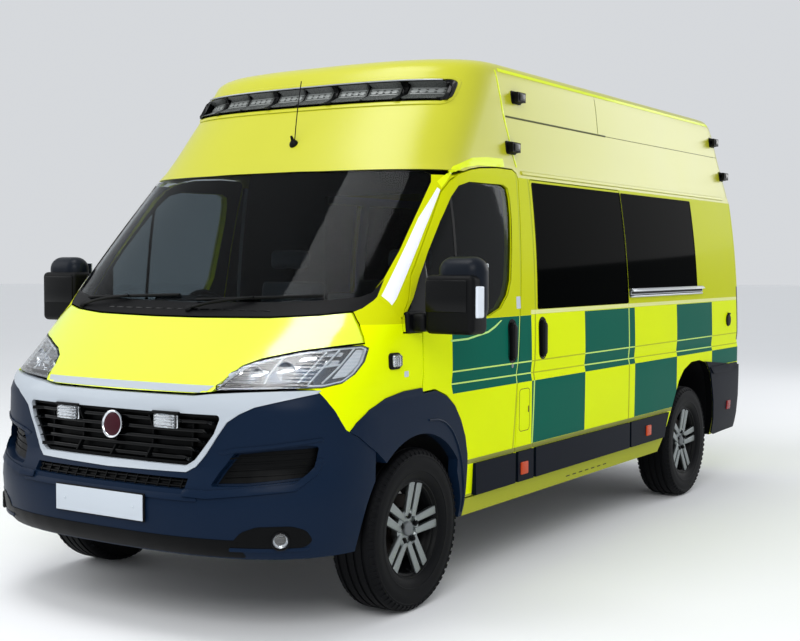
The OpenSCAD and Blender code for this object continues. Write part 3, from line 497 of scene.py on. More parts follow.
def turned(profile, segments=48):
    """A solid of revolution about z through [radius, height] points."""
    bm = bmesh.new()
    corners = [bm.verts.new((radius, 0, height)) for radius, height in profile]
    edges = [bm.edges.new(pair) for pair in zip(corners, corners[1:])]
    bmesh.ops.spin(bm, geom=corners + edges, cent=(0, 0, 0), axis=(0, 0, 1), angle=math.tau,
        steps=segments, use_merge=True)
    bmesh.ops.remove_doubles(bm, verts=bm.verts, dist=0.01)
    bmesh.ops.recalc_face_normals(bm, faces=bm.faces)
    return bm


def aimed(bm, centre, facing, spin=0.0):
    """Turn a shape's z towards facing and move it to centre."""
    look = Vector(facing).to_track_quat("Z", "Y").to_matrix().to_4x4()
    bm.transform(Matrix.Translation(centre) @ look @ Matrix.Rotation(spin, 4, "Z"))
    return bm


def tube(points, radius, closed=False):
    """A round bar along a smooth line through the points."""
    line = bpy.data.curves.new("line", "CURVE")
    line.dimensions = "3D"
    line.bevel_depth = radius
    line.bevel_resolution = 2
    line.resolution_u = 8
    line.use_fill_caps = True
    spline = line.splines.new("BEZIER")
    spline.bezier_points.add(len(points) - 1)
    spline.use_cyclic_u = closed
    for knot, point in zip(spline.bezier_points, points):
        knot.co = point
        knot.handle_left_type = knot.handle_right_type = "AUTO"
    holder = bpy.data.objects.new("line", line)
    mesh = bpy.data.meshes.new_from_object(holder)
    bm = bmesh.new()
    bm.from_mesh(mesh)
    bmesh.ops.remove_doubles(bm, verts=bm.verts, dist=0.001)
    bmesh.ops.recalc_face_normals(bm, faces=bm.faces)
    bpy.data.objects.remove(holder)
    bpy.data.curves.remove(line)
    bpy.data.meshes.remove(mesh)
    return bm


def joined(shapes):
    """Several shapes as one."""
    whole = bmesh.new()
    for bm in shapes:
        mesh = bpy.data.meshes.new("part")
        bm.to_mesh(mesh)
        bm.free()
        whole.from_mesh(mesh)
        bpy.data.meshes.remove(mesh)
    return whole


def mirrored(bm):
    """The shape moved to the vehicle's other side."""
    bmesh.ops.scale(bm, vec=(-1, 1, 1), verts=bm.verts)
    bmesh.ops.reverse_faces(bm, faces=bm.faces)
    return bm


def piece(name, bm, finish_name, body=BODY, replaces=(), sharp=32):
    """Finish a shape as one object, smooth up to sharp degrees, on its body."""
    bm.transform(TO_FRAME)
    for face in bm.faces:
        face.smooth = True
    for edge in bm.edges:
        if edge.is_manifold and edge.calc_face_angle(0) > math.radians(sharp):
            edge.smooth = False
    mesh = bpy.data.meshes.new(name)
    bm.to_mesh(mesh)
    bm.free()
    mesh.materials.append(finish(finish_name))
    made = bpy.data.objects.new(name, mesh)
    bpy.context.scene.collection.objects.link(made)
    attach(made, body)
    if replaces:
        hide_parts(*replaces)
    return made


def pair(name, bm, finish_name, body=BODY):
    """The same piece on both sides; a body's name ending in _left has its twin on the right."""
    twin = mirrored(bm.copy())
    made = piece(name + "_left", bm, finish_name, body)
    piece(name + "_right", twin, finish_name, body.replace("_left", "_right"))
    return made


def smoothed(finish_name, nodes, body=BODY, sharp=32):
    """Stand in for CAD nodes with merged, smooth-shaded copies."""
    for node in nodes:
        piece(node + "_finished", cad_copy(node), finish_name, body, (node,), sharp)


def paint_cad(finish_name, nodes):
    """Give CAD nodes that stay as they are their finish."""
    for node in nodes:
        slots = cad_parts[node].data.materials
        slots.clear()
        slots.append(finish(finish_name))


def padded(name, bm, finish_name, body=BODY, cap_mm=12, voxel_mm=7, replaces=()):
    """A cushion: remeshed, swollen by cloth pressure, its swelling capped, then smoothed."""
    bm.transform(TO_FRAME)
    mesh = bpy.data.meshes.new(name)
    bm.to_mesh(mesh)
    bm.free()
    made = bpy.data.objects.new(name, mesh)
    scene = bpy.context.scene
    scene.collection.objects.link(made)
    remesh = made.modifiers.new("Remesh", "REMESH")
    remesh.mode = "VOXEL"
    remesh.voxel_size = voxel_mm / 1000
    even = bpy.data.meshes.new_from_object(made.evaluated_get(
        bpy.context.evaluated_depsgraph_get()))
    made.modifiers.clear()
    made.data = even
    bpy.data.meshes.remove(mesh)
    cloth = made.modifiers.new("Cloth", "CLOTH")
    cloth.settings.use_pressure = True
    cloth.settings.uniform_pressure_force = 4
    cloth.settings.effector_weights.gravity = 0
    cloth.settings.quality = 3
    for now in range(1, 21):
        scene.frame_set(now)
    blown = made.evaluated_get(bpy.context.evaluated_depsgraph_get())
    swollen = [vert.co.copy() for vert in blown.data.vertices]
    made.modifiers.clear()
    for vert, after in zip(even.vertices, swollen):
        move = after - vert.co
        if move.length > cap_mm / 1000:
            move = move.normalized() * (cap_mm / 1000)
        vert.co += move
    scene.frame_set(1)
    bm = bmesh.new()
    bm.from_mesh(even)
    for _ in range(2):
        bmesh.ops.smooth_vert(bm, verts=bm.verts, factor=0.5, use_axis_x=True, use_axis_y=True,
            use_axis_z=True)
    for face in bm.faces:
        face.smooth = True
    bm.to_mesh(even)
    bm.free()
    even.materials.append(finish(finish_name))
    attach(made, body)
    if replaces:
        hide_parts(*replaces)


class AmbulanceColours(bpy.types.PropertyGroup):
    """Colours of the livery and trim, as sRGB hex values"""
    film_hex: bpy.props.StringProperty(name="Film", description="Fluorescent yellow film",
        default="#e2f400")
    paint_hex: bpy.props.StringProperty(name="Paint",
        description="Yellow body paint above the waist", default="#c6cd08")
    roof_hex: bpy.props.StringProperty(name="Roof", description="Yellow roof paint",
        default="#bcbd20")
    green_hex: bpy.props.StringProperty(name="Green", description="Green film squares",
        default="#005e4d")
    silver_hex: bpy.props.StringProperty(name="Silver", description="Surround of the grille",
        default="#b3bbc3")
    plastic_hex: bpy.props.StringProperty(name="Plastic", description="Bumper and arch trims",
        default="#0e1e33")


class AmbulanceSizes(bpy.types.PropertyGroup):
    """Sizes of the pieces that are added to the frame"""
    floor_radius: bpy.props.FloatProperty(name="Floor", description="Radius of the studio floor",
        default=90.0, unit="LENGTH")


class AMBULANCE_OT_panels(bpy.types.Operator):
    """Finish the body panels and the parts below the body"""
    bl_idname = "ambulance.panels"
    bl_label = "Body panels"

    def execute(self, context):
        smoothed("livery", ("side_left", "side_right", "wings", "sliding_door",
            "windscreen_pillars"))
        smoothed("bonnet", ("bonnet",), "bonnet")
        smoothed("roof", ("roof", "roof_front"))
        for side in ("left", "right"):
            smoothed("livery", ("cab_door_" + side,), "cab_door_" + side)
            smoothed("livery", ("rear_door_" + side,), "rear_door_" + side)
            smoothed("door_glass", ("cab_window_" + side,), "cab_door_" + side)
            smoothed("privacy", ("rear_window_" + side,), "rear_door_" + side)
        smoothed("screen", ("windscreen",))
        smoothed("privacy", ("side_windows",))
        smoothed("black", ("scuttle",))
        smoothed("bumper", ("front_bumper", "arch_trims"))
        smoothed("cladding", ("side_mouldings", "rear_step"))
        smoothed("silver", ("front_surround",))
        smoothed("mesh", ("grille",))
        smoothed("black", ("light_bar", "roof_lamps", "arch_liners"))
        smoothed("rail", ("slide_rail",))
        smoothed("dash", ("dashboard",))
        # The bulkhead takes the dark dashboard finish: painted shade, so that the cab behind the
        # windscreen reads dark.
        paint_cad("dash", ("bulkhead",))
        paint_cad("lining", ("lockers",))
        paint_cad("chassis", ("underbody", "engine", "fuel_tank", "front_suspension",
            "knuckle_left", "knuckle_right", "rear_axle", "leaf_springs"))
        paint_cad("exhaust", ("exhaust",))
        return {"FINISHED"}


GRILLE_SIDE = ((752, 465), (790, 493), (828, 521), (866, 547), (904, 562))


class AMBULANCE_OT_nose(bpy.types.Operator):
    """Fit the grille's slats and strobes, the bumper's recesses, the fog lamps and the plate"""
    bl_idname = "ambulance.nose"
    bl_label = "Grille and bumper"

    def execute(self, context):
        tray = ("grille",)
        piece("grille_slats", joined([plaque(box(0, z, 2 * side - 40, 15), "front", tray, 33, 1,
            step=50, edge=3, axes=(0,)) for z, side in GRILLE_SIDE]), "gloss_black")
        piece("grille_ribs", joined([plaque(box(x, 832, 8, 190 - abs(x) * 0.06), "front", tray, 22,
            1, step=60, edge=2) for x in (-420, -210, 0, 210, 420)]), "mesh")
        lamps, hoods, backs = [], [], []
        for x in (-295, 295):
            seat = spot_on(x, 900, "front", tray, 40)
            lamps.append(block(seat + Vector((0, -6, 0)), (122, 26, 58), 9, 4))
            backs.append(block(seat + Vector((0, 10, 0)), (126, 22, 62), 6))
            hoods.append(block(seat + Vector((6, 2, 37)), (150, 40, 12), 5))
            hoods.append(block(seat + Vector((0, 24, 0)), (70, 40, 40), 5))
            for step in range(4):
                lamps.append(block(seat + Vector((0, -19, -21 + 14 * step)), (104, 5, 9), 2, 2))
        piece("grille_strobe_lenses", joined(lamps), "clear")
        piece("grille_strobe_backs", joined(backs), "chrome")
        piece("grille_strobe_hoods", joined(hoods), "black")
        middle = spot_on(0, 868, "front", tray, 48)
        piece("nose_ring", aimed(turned([(50, 0), (58, 1), (61, 5), (60, 9), (56, 11), (52, 9),
            (50, 6), (50, 0)]), middle, (0, -1, 0.12)), "chrome")
        piece("nose_disc", aimed(turned([(0, -6), (52, -6), (52, 5), (40, 8), (20, 9.5), (0, 10)]),
            middle, (0, -1, 0.12)), "badge")
        piece("nose_disc_stem", block(middle + Vector((0, 20, 0)), (60, 44, 60), 6), "black")
        piece("bonnet_strip", plaque([(-470, 1024.5), (470, 1024.5), (496, 1053), (-496, 1053)],
            "front", ("bonnet",), 2, 2, step=14, edge=0.6), "silver", "bonnet")
        bumper = ("front_bumper",)
        piece("lower_slot_mesh", joined([plaque(box(0, 652, 890, 36), "front", bumper, 2.5, 1,
            step=25)] + [plaque(box(x, 652, 5, 38), "front", bumper, 16, 1, edge=1)
            for x in range(-420, 421, 60)] + [plaque(box(0, z, 880, 5), "front", bumper, 13, 1,
            step=30) for z in (642, 661)]), "mesh")
        # A black plaque low across the bumper: painted shade for the dark undercut beneath the
        # bumper.
        piece("undercut_shade_valance", plaque([(-700, 358), (700, 358), (690, 436), (-690, 436)], "front",
            bumper, 3, 3, corner=12, step=20, edge=1.5), "mesh")
        piece("centre_step", plaque([(-520, 588), (520, 588), (505, 612), (-505, 612)], "front",
            bumper, 0, 6, corner=8, step=60, edge=2, lean=(588, 9, 612, 1)), "bumper")

        bars = [plaque([(580 + (z - 645) * 0.4, z), (880 + (z - 645) * 0.35, z + 22),
            (880 + (z - 645) * 0.35, z + 28), (580 + (z - 645) * 0.4, z + 6)], "front", bumper, 9,
            1, step=25) for z in (682, 708, 734, 760)]
        bars.append(plaque([(574, 658), (695, 664), (884, 688), (912, 722), (924, 806), (764, 792),
            (642, 775), (596, 712)], "front", bumper, 3, 1, step=20))
        pair("intake_mesh", joined(bars), "mesh")
        pair("intake_lip", plaque([(446, 606), (560, 603), (705, 620), (886, 640), (936, 700),
            (950, 764), (934, 770), (914, 712), (880, 668), (700, 649), (556, 634), (446, 634)],
            "front", bumper, 0, 5, corner=5, step=20, edge=3, lean=(606, 11, 720, 4)), "bumper")
        pair("intake_brow", plaque([(560, 786), (640, 806), (780, 822), (900, 842), (948, 850),
            (950, 838), (900, 828), (780, 808), (650, 791), (585, 774)], "front", bumper, 0, 5,
            corner=4, step=20, edge=3, lean=(780, 2, 845, 8)), "bumper")
        pair("fog_recess", plaque([(640, 402), (900, 402), (925, 430), (910, 478), (870, 496),
            (760, 494), (700, 470)], "front", bumper, 3, 4, corner=14, step=18, edge=1), "mesh")
        pair("fog_ledge", plaque([(650, 388), (905, 388), (915, 402), (650, 404)], "front", bumper,
            0, 4, corner=5, step=40, edge=3, lean=(388, 14, 404, 5)), "bumper")
        facing = Vector((0.62, -0.78, 0.0))
        lamp_at = spot_on(837, 436, "front", bumper, 4)
        pair("fog_lamp_ring", aimed(turned([(28, -14), (39, -14), (41, 2), (38, 8), (33, 9),
            (31, 4), (28, -14)]), lamp_at, facing), "black")
        pair("fog_lamp_bowl", aimed(turned([(0, -12), (10, -11), (20, -8), (31, 2), (31, 4),
            (20, -5), (10, -8), (0, -9)], 24), lamp_at, facing), "chrome")
        pair("fog_lamp_lens", aimed(turned([(0, 6), (20, 4.5), (32, 1), (32, 4), (20, 8), (0, 10)],
            24), lamp_at, facing), "clear")
        front = min(spot_on(x, 541, "front", bumper).y for x in (-200, 0, 200))
        piece("front_plate_holder", block((0, front - 2, 541), (532, 10, 121), 4), "black")
        piece("front_plate", block((0, front - 9, 541), (520, 4, 111), 1.8), "plate")
        screws = [aimed(turned([(6, 0), (6, 1.5), (4, 3), (0, 3.4)], 16), (x, front - 11, 541),
            (0, -1, 0)) for x in (-205, 205)]
        piece("front_plate_screws", joined(screws), "plate")
        return {"FINISHED"}


# A front lamp's outline, as seen from the front, from its inner lower corner round
LAMP_EDGE = ((508, 1036), (512, 1050), (520, 1082), (553, 1125), (619, 1154), (764, 1189),
    (898, 1209), (962, 1216), (981, 1205), (987, 1150), (981, 1102), (964, 1069), (918, 1053),
    (782, 1049))


# A lamp bowl's section: shares of its radius, and depths
BOWL = ((0, -34), (0.35, -31), (0.65, -22), (0.88, -9), (1, 0), (1.08, 0), (1.06, -10),
    (0.75, -27), (0.4, -36), (0, -38))
LIGHT_GUIDES = (((822, 1060), (838, 1120), (858, 1190)), ((862, 1062), (878, 1130), (898, 1198)),
    ((905, 1068), (925, 1130), (940, 1204)), ((700, 1060), (694, 1100), (704, 1160)),
    ((838, 1120), (878, 1130), (925, 1140)), ((530, 1075), (570, 1118), (640, 1148), (760, 1180),
    (880, 1202)))


class AMBULANCE_OT_headlamps(bpy.types.Operator):
    """Build the two headlamps: bowls, light guides and a clear lens"""
    bl_idname = "ambulance.headlamps"
    bl_label = "Headlamps"

    def execute(self, context):
        on = ("headlamps",)
        made = pair("headlamp_lens", plaque(LAMP_EDGE, "front", on, 0, 4, corner=6, step=45),
            "clear")
        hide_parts("headlamps")
        pair("headlamp_case", joined([plaque(LAMP_EDGE, "front", on, -62, 68, step=60),
            band_round(LAMP_EDGE, "front", on, 4, -5, 64, corner=6, step=40)]), "lamp_case")
        pair("headlamp_rim", band_round(LAMP_EDGE, "front", on, 10, -7, 20, corner=6, step=25),
            "guide")
        pair("headlamp_sill", plaque([(512, 1040), (560, 1044), (782, 1052), (870, 1056),
            (860, 1072), (760, 1066), (540, 1062), (516, 1058)], "front", on, -5, 48, corner=4,
            step=45, edge=3), "black")
        shapes, facing = [], (0.28, -0.95, 0.1)
        for x, z, radius, lift in ((640, 1092, 33, -22), (748, 1112, 40, -20)):
            place = spot_on(x, z, "front", on, lift)
            shapes.append(aimed(turned([(r * radius, h) for r, h in BOWL], 32), place, facing))
            shapes.append(aimed(turned([(7, -30), (8, -14), (6, -8), (0, -6)], 16), place, facing))
        for x, z, w, h in ((800, 1160, 60, 16), (880, 1180, 60, 18), (890, 1146, 44, 20)):
            shapes.append(plaque(box(x, z, w, h), "front", on, -26, 30, corner=3, edge=2))
        for x, z in ((600, 1086), (716, 1106)):
            shapes.append(plaque([(x, z), (x + 42, z + 30), (x + 84, z + 24), (x + 58, z + 6)],
                "front", on, -16, 24, corner=3, edge=2))
        pair("headlamp_reflectors", joined(shapes), "chrome")
        pair("headlamp_guides", joined([tube([spot_on(x, z, "front", on, -14) for x, z in line],
            4.2) for line in LIGHT_GUIDES]), "guide")
        pair("headlamp_indicator", plaque([(925, 1084), (958, 1092), (972, 1140), (966, 1196),
            (948, 1200), (936, 1140)], "front", on, -14, 30, corner=5, step=40, edge=3), "guide")
        return {"FINISHED"}


def bar_outline(grown=0.0):
    """The front light bar's outline, with rounded ends."""
    low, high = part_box("light_bar")
    half_long = high.x * 1000 + grown
    bottom, top = low.z * 1000 - grown, high.z * 1000 + grown
    return [(-half_long, bottom), (half_long, bottom), (half_long, top), (-half_long, top)]


class AMBULANCE_OT_roof_lights(bpy.types.Operator):
    """Fit the light bar's modules, the lenses of the side lamps, the roof's seams and aerial"""
    bl_idname = "ambulance.roof_lights"
    bl_label = "Roof lights"

    def execute(self, context):
        bar, shell = ("light_bar",), ("roof_front", "light_bar")
        middle = (bar_outline()[0][1] + bar_outline()[2][1]) / 2
        lenses, backs = [], []
        for x in (-686, -476, -299, -89, 89, 299, 476, 686):
            lenses.append(plaque(box(x, middle, 172, 90), "front", bar, 26, 1, corner=10, step=40,
                edge=6))
            for row in (-30, -15, 0, 15, 30):
                backs.append(plaque(box(x, middle + row, 150, 6), "front", bar, 28.5, -20, step=40,
                    corner=2, edge=1.5))
            for column in (-56, -19, 19, 56):
                backs.append(plaque(box(x + column, middle, 26, 20), "front", bar, 30, -20,
                    corner=4, edge=2))
        piece("light_bar_lenses", joined(lenses), "bar_lens")
        piece("light_bar_reflectors", joined(backs), "bar_rib")
        low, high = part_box("light_bar")
        bar_top, bar_end = high.z * 1000, high.x * 1000
        piece("light_bar_rail", plaque(box(0, bar_top - 3, 2 * bar_end - 90, 7), "front", bar, 33,
            -28, step=40, edge=2), "rail")
        pair("light_bar_end", plaque(box(bar_end - 18, middle, 60, bar_top - low.z * 1000 - 4),
            "front", bar, 22, 1, corner=26, step=20, edge=6), "gloss_black")
        piece("light_bar_pillars", joined([plaque(box(x, middle, 30, 98), "front", bar, 31, 1,
            corner=3, step=40, edge=3)
            for x in (-581, -194, 194, 581)] + [plaque(box(x, middle, 10, 92), "front", bar, 28, 1,
            step=40, edge=2) for x in (-388, 0, 388)]), "gloss_black")
        piece("light_bar_bezel", band_round(bar_outline(20), "front", shell, 18, 7, 4, corner=46,
            step=50, edge=3), "roof")
        for y, z in ((1167, 2436), (1055, 2165), (WHEELBASE + 761, 2445), (WHEELBASE + 909, 2207)):
            name = f"side_lamp_{int(y)}"
            on_roof = spot_on(y, z, "left", ("roof", "roof_front"))
            pair(name + "_body", block(on_roof + Vector((12, 0, 0)), (62, 86, 58), 20, 5), "black")
            pair(name + "_lens", block(on_roof + Vector((34, 4, 2)), (24, 62, 42), 11, 4),
                "lamp_smoke")
            pair(name + "_base", band_round(box(y, z, 104, 68), "left", ("roof", "roof_front"), 9,
                6, 3, corner=12, step=30, edge=2), "black")
        base = spot_on(91, 2165, "front", ("roof_front",))
        tip = base + Vector((0, 62, 320))
        piece("aerial", joined([tube([base + Vector((0, 4, 4)),
            base.lerp(tip, 0.5) + Vector((0, -3, 0)), tip], 2.6), aimed(turned([(24, -10), (24, 2),
            (19, 12), (9, 22), (6, 44), (0, 46)], 24), base, (0, -0.5, 0.86))]), "black")
        over = ("roof", "roof_front")
        ribs = [plaque([(-700, y), (700, y), (700, y + 46), (-700, y + 46)], "top", over, 4, 3,
            corner=18, step=90, edge=3) for y in (1550, 2050, 2550, 3050, 3550)]
        piece("roof_ribs", joined(ribs), "roof")
        pair("roof_side_seam", joined([plaque([(1034, 2322), (2300, 2324), (2300, 2334),
            (1034, 2332)], "left", over, 1.5, 3, edge=0.8), plaque([(2300, 2327), (4280, 2338),
            (4280, 2341), (2300, 2330)], "left", over, 1, 3), plaque([(2192, 2336), (2195, 2336),
            (2195, 2560), (2192, 2560)], "left", over, 1, 3)]), "dark_line")
        pair("roof_joint_trim", plaque([(1092, 2066), (1104, 2066), (1024, 2322), (980, 2560),
            (968, 2560), (1010, 2322)], "left", over, 1.6, 3, step=20, edge=0.8), "film")
        # A bright strip along the roof's top edge: partly film, partly a painted highlight of the
        # gutter edge catching the light.
        pair("roof_edge_highlight_film", plaque([(1010, 2556), (4180, 2556), (4180, 2574), (1010, 2574)],
            "left", over, 1.5, 3, step=20), "film")
        pair("gutter_rail", plaque([(1130, 2030), (4300, 2030), (4300, 2050), (1130, 2050)],
            "left", over, 7, 3, corner=5, step=90, edge=4), "roof")
        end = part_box("roof")[1].y * 1000 - AXLE_Y * 1000
        piece("rear_spoiler", joined([block((0, end - 330, 2600), (1300, 120, 34),
            12)] + [block((x, end - 330, 2590), (60, 90, 60), 10) for x in (-560, 560)]), "roof")
        return {"FINISHED"}


SCREEN_EDGE = ((521, 1394), (745, 1404), (870, 1420), (905, 1440), (920, 1502), (922, 1627),
    (907, 1836), (897, 1950), (884, 1984), (852, 1998), (756, 2004), (222, 2014))
DOOR_GLASS_EDGE = ((-96, 1292), (-92, 1350), (-30, 1415), (25, 1500), (120, 1620), (250, 1762),
    (372, 1880), (455, 1938), (560, 1962), (900, 1966), (945, 1950), (955, 1900), (950, 1800),
    (925, 1650), (890, 1480), (850, 1410), (770, 1345), (650, 1312), (400, 1298))


class AMBULANCE_OT_glass_trim(bpy.types.Operator):
    """Fit the windscreen's border and wipers, the window seals and the film strips by the doors"""
    bl_idname = "ambulance.glass_trim"
    bl_label = "Glass trim and wipers"

    def execute(self, context):
        screen = ("windscreen",)
        whole = list(SCREEN_EDGE) + [(-x, z) for x, z in reversed(SCREEN_EDGE)]
        piece("screen_border", band_round(whole, "front", screen, 34, 0.4, 1.5, step=60),
            "gloss_black")
        front = ("windscreen", "scuttle", "bonnet")
        blades, arms = [], []
        for start_x, end_x, lift_z in ((-700, -60, 60), (60, 720, 74)):
            line = [spot_on(start_x + (end_x - start_x) * i / 6, 1398 + lift_z * (i / 6) * 0.35,
                "front", front, 12) for i in range(7)]
            blades.append(tube(line, 7))
            blades.append(tube([p + Vector((0, 4, -4)) for p in line], 4))
            foot = spot_on(start_x - 20, 1360, "front", front, 8)
            arms.append(tube([foot, foot.lerp(line[3], 0.4) + Vector((0, -24, 8)),
                line[3] + Vector((0, -12, 2))], 7))
            arms.append(aimed(turned([(20, -14), (20, 2), (15, 8), (0, 10)], 20), foot,
                (0, -0.6, 0.8)))
        piece("wiper_blades", joined(blades), "seal")
        piece("wiper_arms", joined(arms), "black")
        slots = [plaque(box(x, 1356, 52, 5), "front", ("scuttle",), 1.5, 3, edge=0.8)
            for x in range(-480, 481, 68)]
        piece("plenum_slots", joined(slots), "gloss_black")
        pair("door_glass_seal", band_round(DOOR_GLASS_EDGE, "left",
            ("cab_door_left", "cab_window_left"), 15, 1.6, 2, step=50, edge=0.6), "seal",
            "cab_door_left")
        pair("door_sail_panel", plaque([(-82, 1300), (-80, 1346), (-24, 1412), (30, 1492),
            (100, 1585), (112, 1440), (116, 1302)], "left", ("cab_window_left",), 2.2, 1, corner=6,
            step=30, edge=1), "gloss_black", "cab_door_left")
        pair("door_glass_bar", plaque([(356, 1304), (376, 1304), (392, 1885), (372, 1868)], "left",
            ("cab_window_left",), 1, 4, step=60), "seal", "cab_door_left")
        # A white strip along each A-pillar: partly white film, partly a painted highlight standing
        # for the sky's reflection on the pillar.
        pair("pillar_film_and_highlight", plaque([(-186, 1424), (-166, 1384), (-138, 1409), (14, 1579),
            (138, 1718), (316, 1911), (308, 1922), (145, 1774)], "left", ("windscreen_pillars",),
            2.5, 1.5, step=10, edge=0.8), "white")
        pair("roof_film", plaque([(331, 1923), (324, 1952), (456, 2032), (639, 2085), (785, 2098),
            (955, 2102), (960, 2060), (905, 2056), (678, 2050), (540, 2030), (420, 1994)], "left",
            ("roof_front", "windscreen_pillars", "roof"), 2, 1.5, step=14, edge=0.8), "film")
        side = ("side_left", "sliding_door", "side_windows")
        pair("pane_seal_rear", band_round([(2398.5, 1408), (2398.5, 1994), (3592, 1994),
            (3592, 1408)], "left", side, 14, 1.2, 2, corner=14), "privacy")
        pair("pane_seal_front", band_round([(1174, 1328), (1220, 1994), (2390.5, 1994),
            (2390.5, 1328)], "left", side, 14, 1.2, 2, corner=14), "privacy")
        pair("rear_glass_seal", band_round([(112, 1332), (112, 1898), (718, 1898), (763, 1332)],
            "rear", ("rear_window_left", "rear_door_left"), 16, 1.5, 2, corner=22, step=70),
            "seal", "rear_door_left")
        return {"FINISHED"}


class AMBULANCE_OT_side_trim(bpy.types.Operator):
    """Fit the handles, strobes, reflectors, flap, sockets and the sliding door's rail"""
    bl_idname = "ambulance.side_trim"
    bl_label = "Side trim"

    def execute(self, context):
        def handle(y, nodes):
            """A tall pull handle in its dished plate, 213 mm high."""
            return joined([plaque(box(y, 1175, 92, 224), "left", nodes, 3, 3, corner=45, step=24,
                edge=2), plaque(box(y + 3, 1172, 46, 176), "left", nodes, 30, -2, corner=22,
                step=25, edge=9), plaque(box(y, 1252, 30, 34), "left", nodes, 22, 2, corner=12,
                step=25, edge=4), plaque(box(y, 1092, 30, 30), "left", nodes, 22, 2, corner=12,
                step=25, edge=4)])

        pair("cab_handle", handle(885, ("cab_door_left",)), "black", "cab_door_left")
        piece("sliding_handle", handle(1226, ("sliding_door",)), "black")
        pair("cab_lock", aimed(turned([(11, -2), (11, 2), (8, 3.5), (0, 4)], 20),
            spot_on(885, 1050, "left", ("cab_door_left",)), (1, 0, 0)), "alloy", "cab_door_left")
        pair("door_swage", plaque([(278, 1202), (436, 1204), (636, 1228), (708, 1250), (780, 1284),
            (770, 1286), (702, 1259), (633, 1237), (436, 1213), (278, 1211)], "left",
            ("cab_door_left",), 1.2, 2, step=16, edge=0.5), "film_line", "cab_door_left")
        left = ("side_left", "sliding_door", "slide_rail")
        piece("rail_cap", joined([plaque(box(3030, 1408, 1252, 17), "left", left, 22, 3, step=90,
            edge=3), plaque(box(3030, 1368, 1252, 11), "left", left, 16, 3, step=90, edge=3)]),
            "rail")
        piece("rail_groove", plaque([(2410, 1383.5), (3650, 1383.5), (3650, 1396.5),
            (2410, 1396.5)], "left", ("slide_rail",), 0.6, 2, step=90), "black")
        piece("rail_back", plaque(box(3030, 1388, 1236, 42), "left", left, 4, 2, step=90, edge=1),
            "mesh")
        pair("rear_cladding", plaque([(3870, 795), (4395, 795), (4395, 846), (3800, 846)], "left",
            ("side_left", "side_mouldings"), 9, 2, corner=4, step=60, edge=3), "cladding")
        for y, z, lens_name in ((994, 518, "reflex"), (2676, 527, "reflex"),
                (4226, 545, "reflex_red")):
            pair(f"reflector_{y}", plaque(box(y, z, 76, 64), "left",
                ("side_left", "side_mouldings"), 6, 2, corner=6, step=90, edge=3), lens_name)
        wing, door = ("wings",), ("cab_door_left",)
        pair("wing_strobe_bezel", plaque(box(-205, 1143, 84, 72), "left", wing, 9, 3, corner=18,
            step=30, edge=4), "black")
        pair("wing_strobe_lens", joined([plaque(box(-199, 1144, 62, 54), "left", wing, 20, -10,
            corner=14, step=20, edge=4)] + [plaque(box(-199, 1128 + 11 * i, 52, 6), "left", wing,
            23, -18, corner=2, edge=1) for i in range(4)]), "clear")
        pair("wing_strobe_cells", joined([plaque(box(-214 + 15 * i, 1144, 11, 44), "left", wing,
            14, -9.5, corner=4, edge=2) for i in range(3)]), "chrome")
        pair("wing_blank", plaque(box(-109, 1080, 34, 26), "left", wing, 1, 1, corner=3, step=30),
            "plate")
        piece("pillar_sticker", plaque(box(962, 1368, 44, 62), "left",
            ("side_left", "cab_door_left"), 0.7, 1.2, corner=4, step=30), "plate")
        piece("fuel_flap_seam", band_round([(960, 705), (1076, 705), (1076, 925), (960, 925)],
            "left", ("side_left",), 3.2, 0.7, 2, corner=22, step=60), "dark_line")
        piece("fuel_flap_catch", plaque(box(1062, 815, 10, 34), "left", ("side_left",), 1, 2,
            corner=4), "dark_line")
        socket = spot_on(4213, 1161, "left", ("side_left",))
        piece("hook_up_socket", joined([aimed(turned([(44, -4), (44, 5), (40, 10), (30, 12),
            (0, 13)], 36), socket, (1, 0, 0)), block(socket + Vector((8, 0, 46)), (16, 34, 14),
            4)]), "black")

        lip = ((70, 858), (160, 850), (246, 812), (312, 744), (356, 664), (384, 574), (402, 500),
            (410, 440), (410, 384))
        pair("arch_trim_bead", tube([spot_on(y, z, "left", ("arch_trims",), 1) for y, z in lip],
            5), "bumper")
        pair("sill_slots", joined([plaque(box(y, 388, 46, 7), "left", ("side_left",), 1, 2,
            corner=3) for y in range(1600, 2101, 83)]), "dark_line")
        return {"FINISHED"}


class AMBULANCE_OT_mirrors(bpy.types.Operator):
    """Build the door mirrors with their arms, glass and repeaters"""
    bl_idname = "ambulance.mirrors"
    bl_label = "Door mirrors"

    def execute(self, context):
        outer = (TO_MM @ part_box("mirror_left")[1]).x
        for side in ("left", "right"):
            def put(name, bm, finish_name, replaces=()):
                if side == "right":
                    bm = mirrored(bm)
                piece(f"mirror_{name}_{side}", bm, finish_name, "cab_door_" + side, replaces)

            put("shell", block((outer - 132, -11, 1387), (246, 142, 258), 26, 5), "black",
                ("mirror_" + side,))
            put("cap", block((outer - 113, 22, 1452), (226, 142, 290), 66, 8), "mirror_cap")
            put("panel", block((outer - 142, -83, 1424), (206, 6, 138), 2.8), "gloss_black")
            put("glass", block((outer - 120, 93, 1500), (180, 6, 130), 2.5), "mirror_glass")
            put("wide_glass", block((outer - 124, 60, 1345), (190, 6, 80), 2.5), "mirror_glass")
            put("repeater", block((outer - 8, -24, 1400), (18, 64, 138), 8, 4), "guide")
            arms = []
            for z in (1296, 1332):
                arms.append(tube([Vector((1002, -46, z)), Vector((1060, -34, z - 4)),
                    Vector((outer - 230, -26, z + 2))], 17 if z < 1300 else 11))
            arms.append(block((1016, -34, 1306), (34, 150, 96), 14, 4))
            arms.append(block((1056, -32, 1306), (84, 96, 84), 26, 4))
            put("arms", joined(arms), "black")
        return {"FINISHED"}


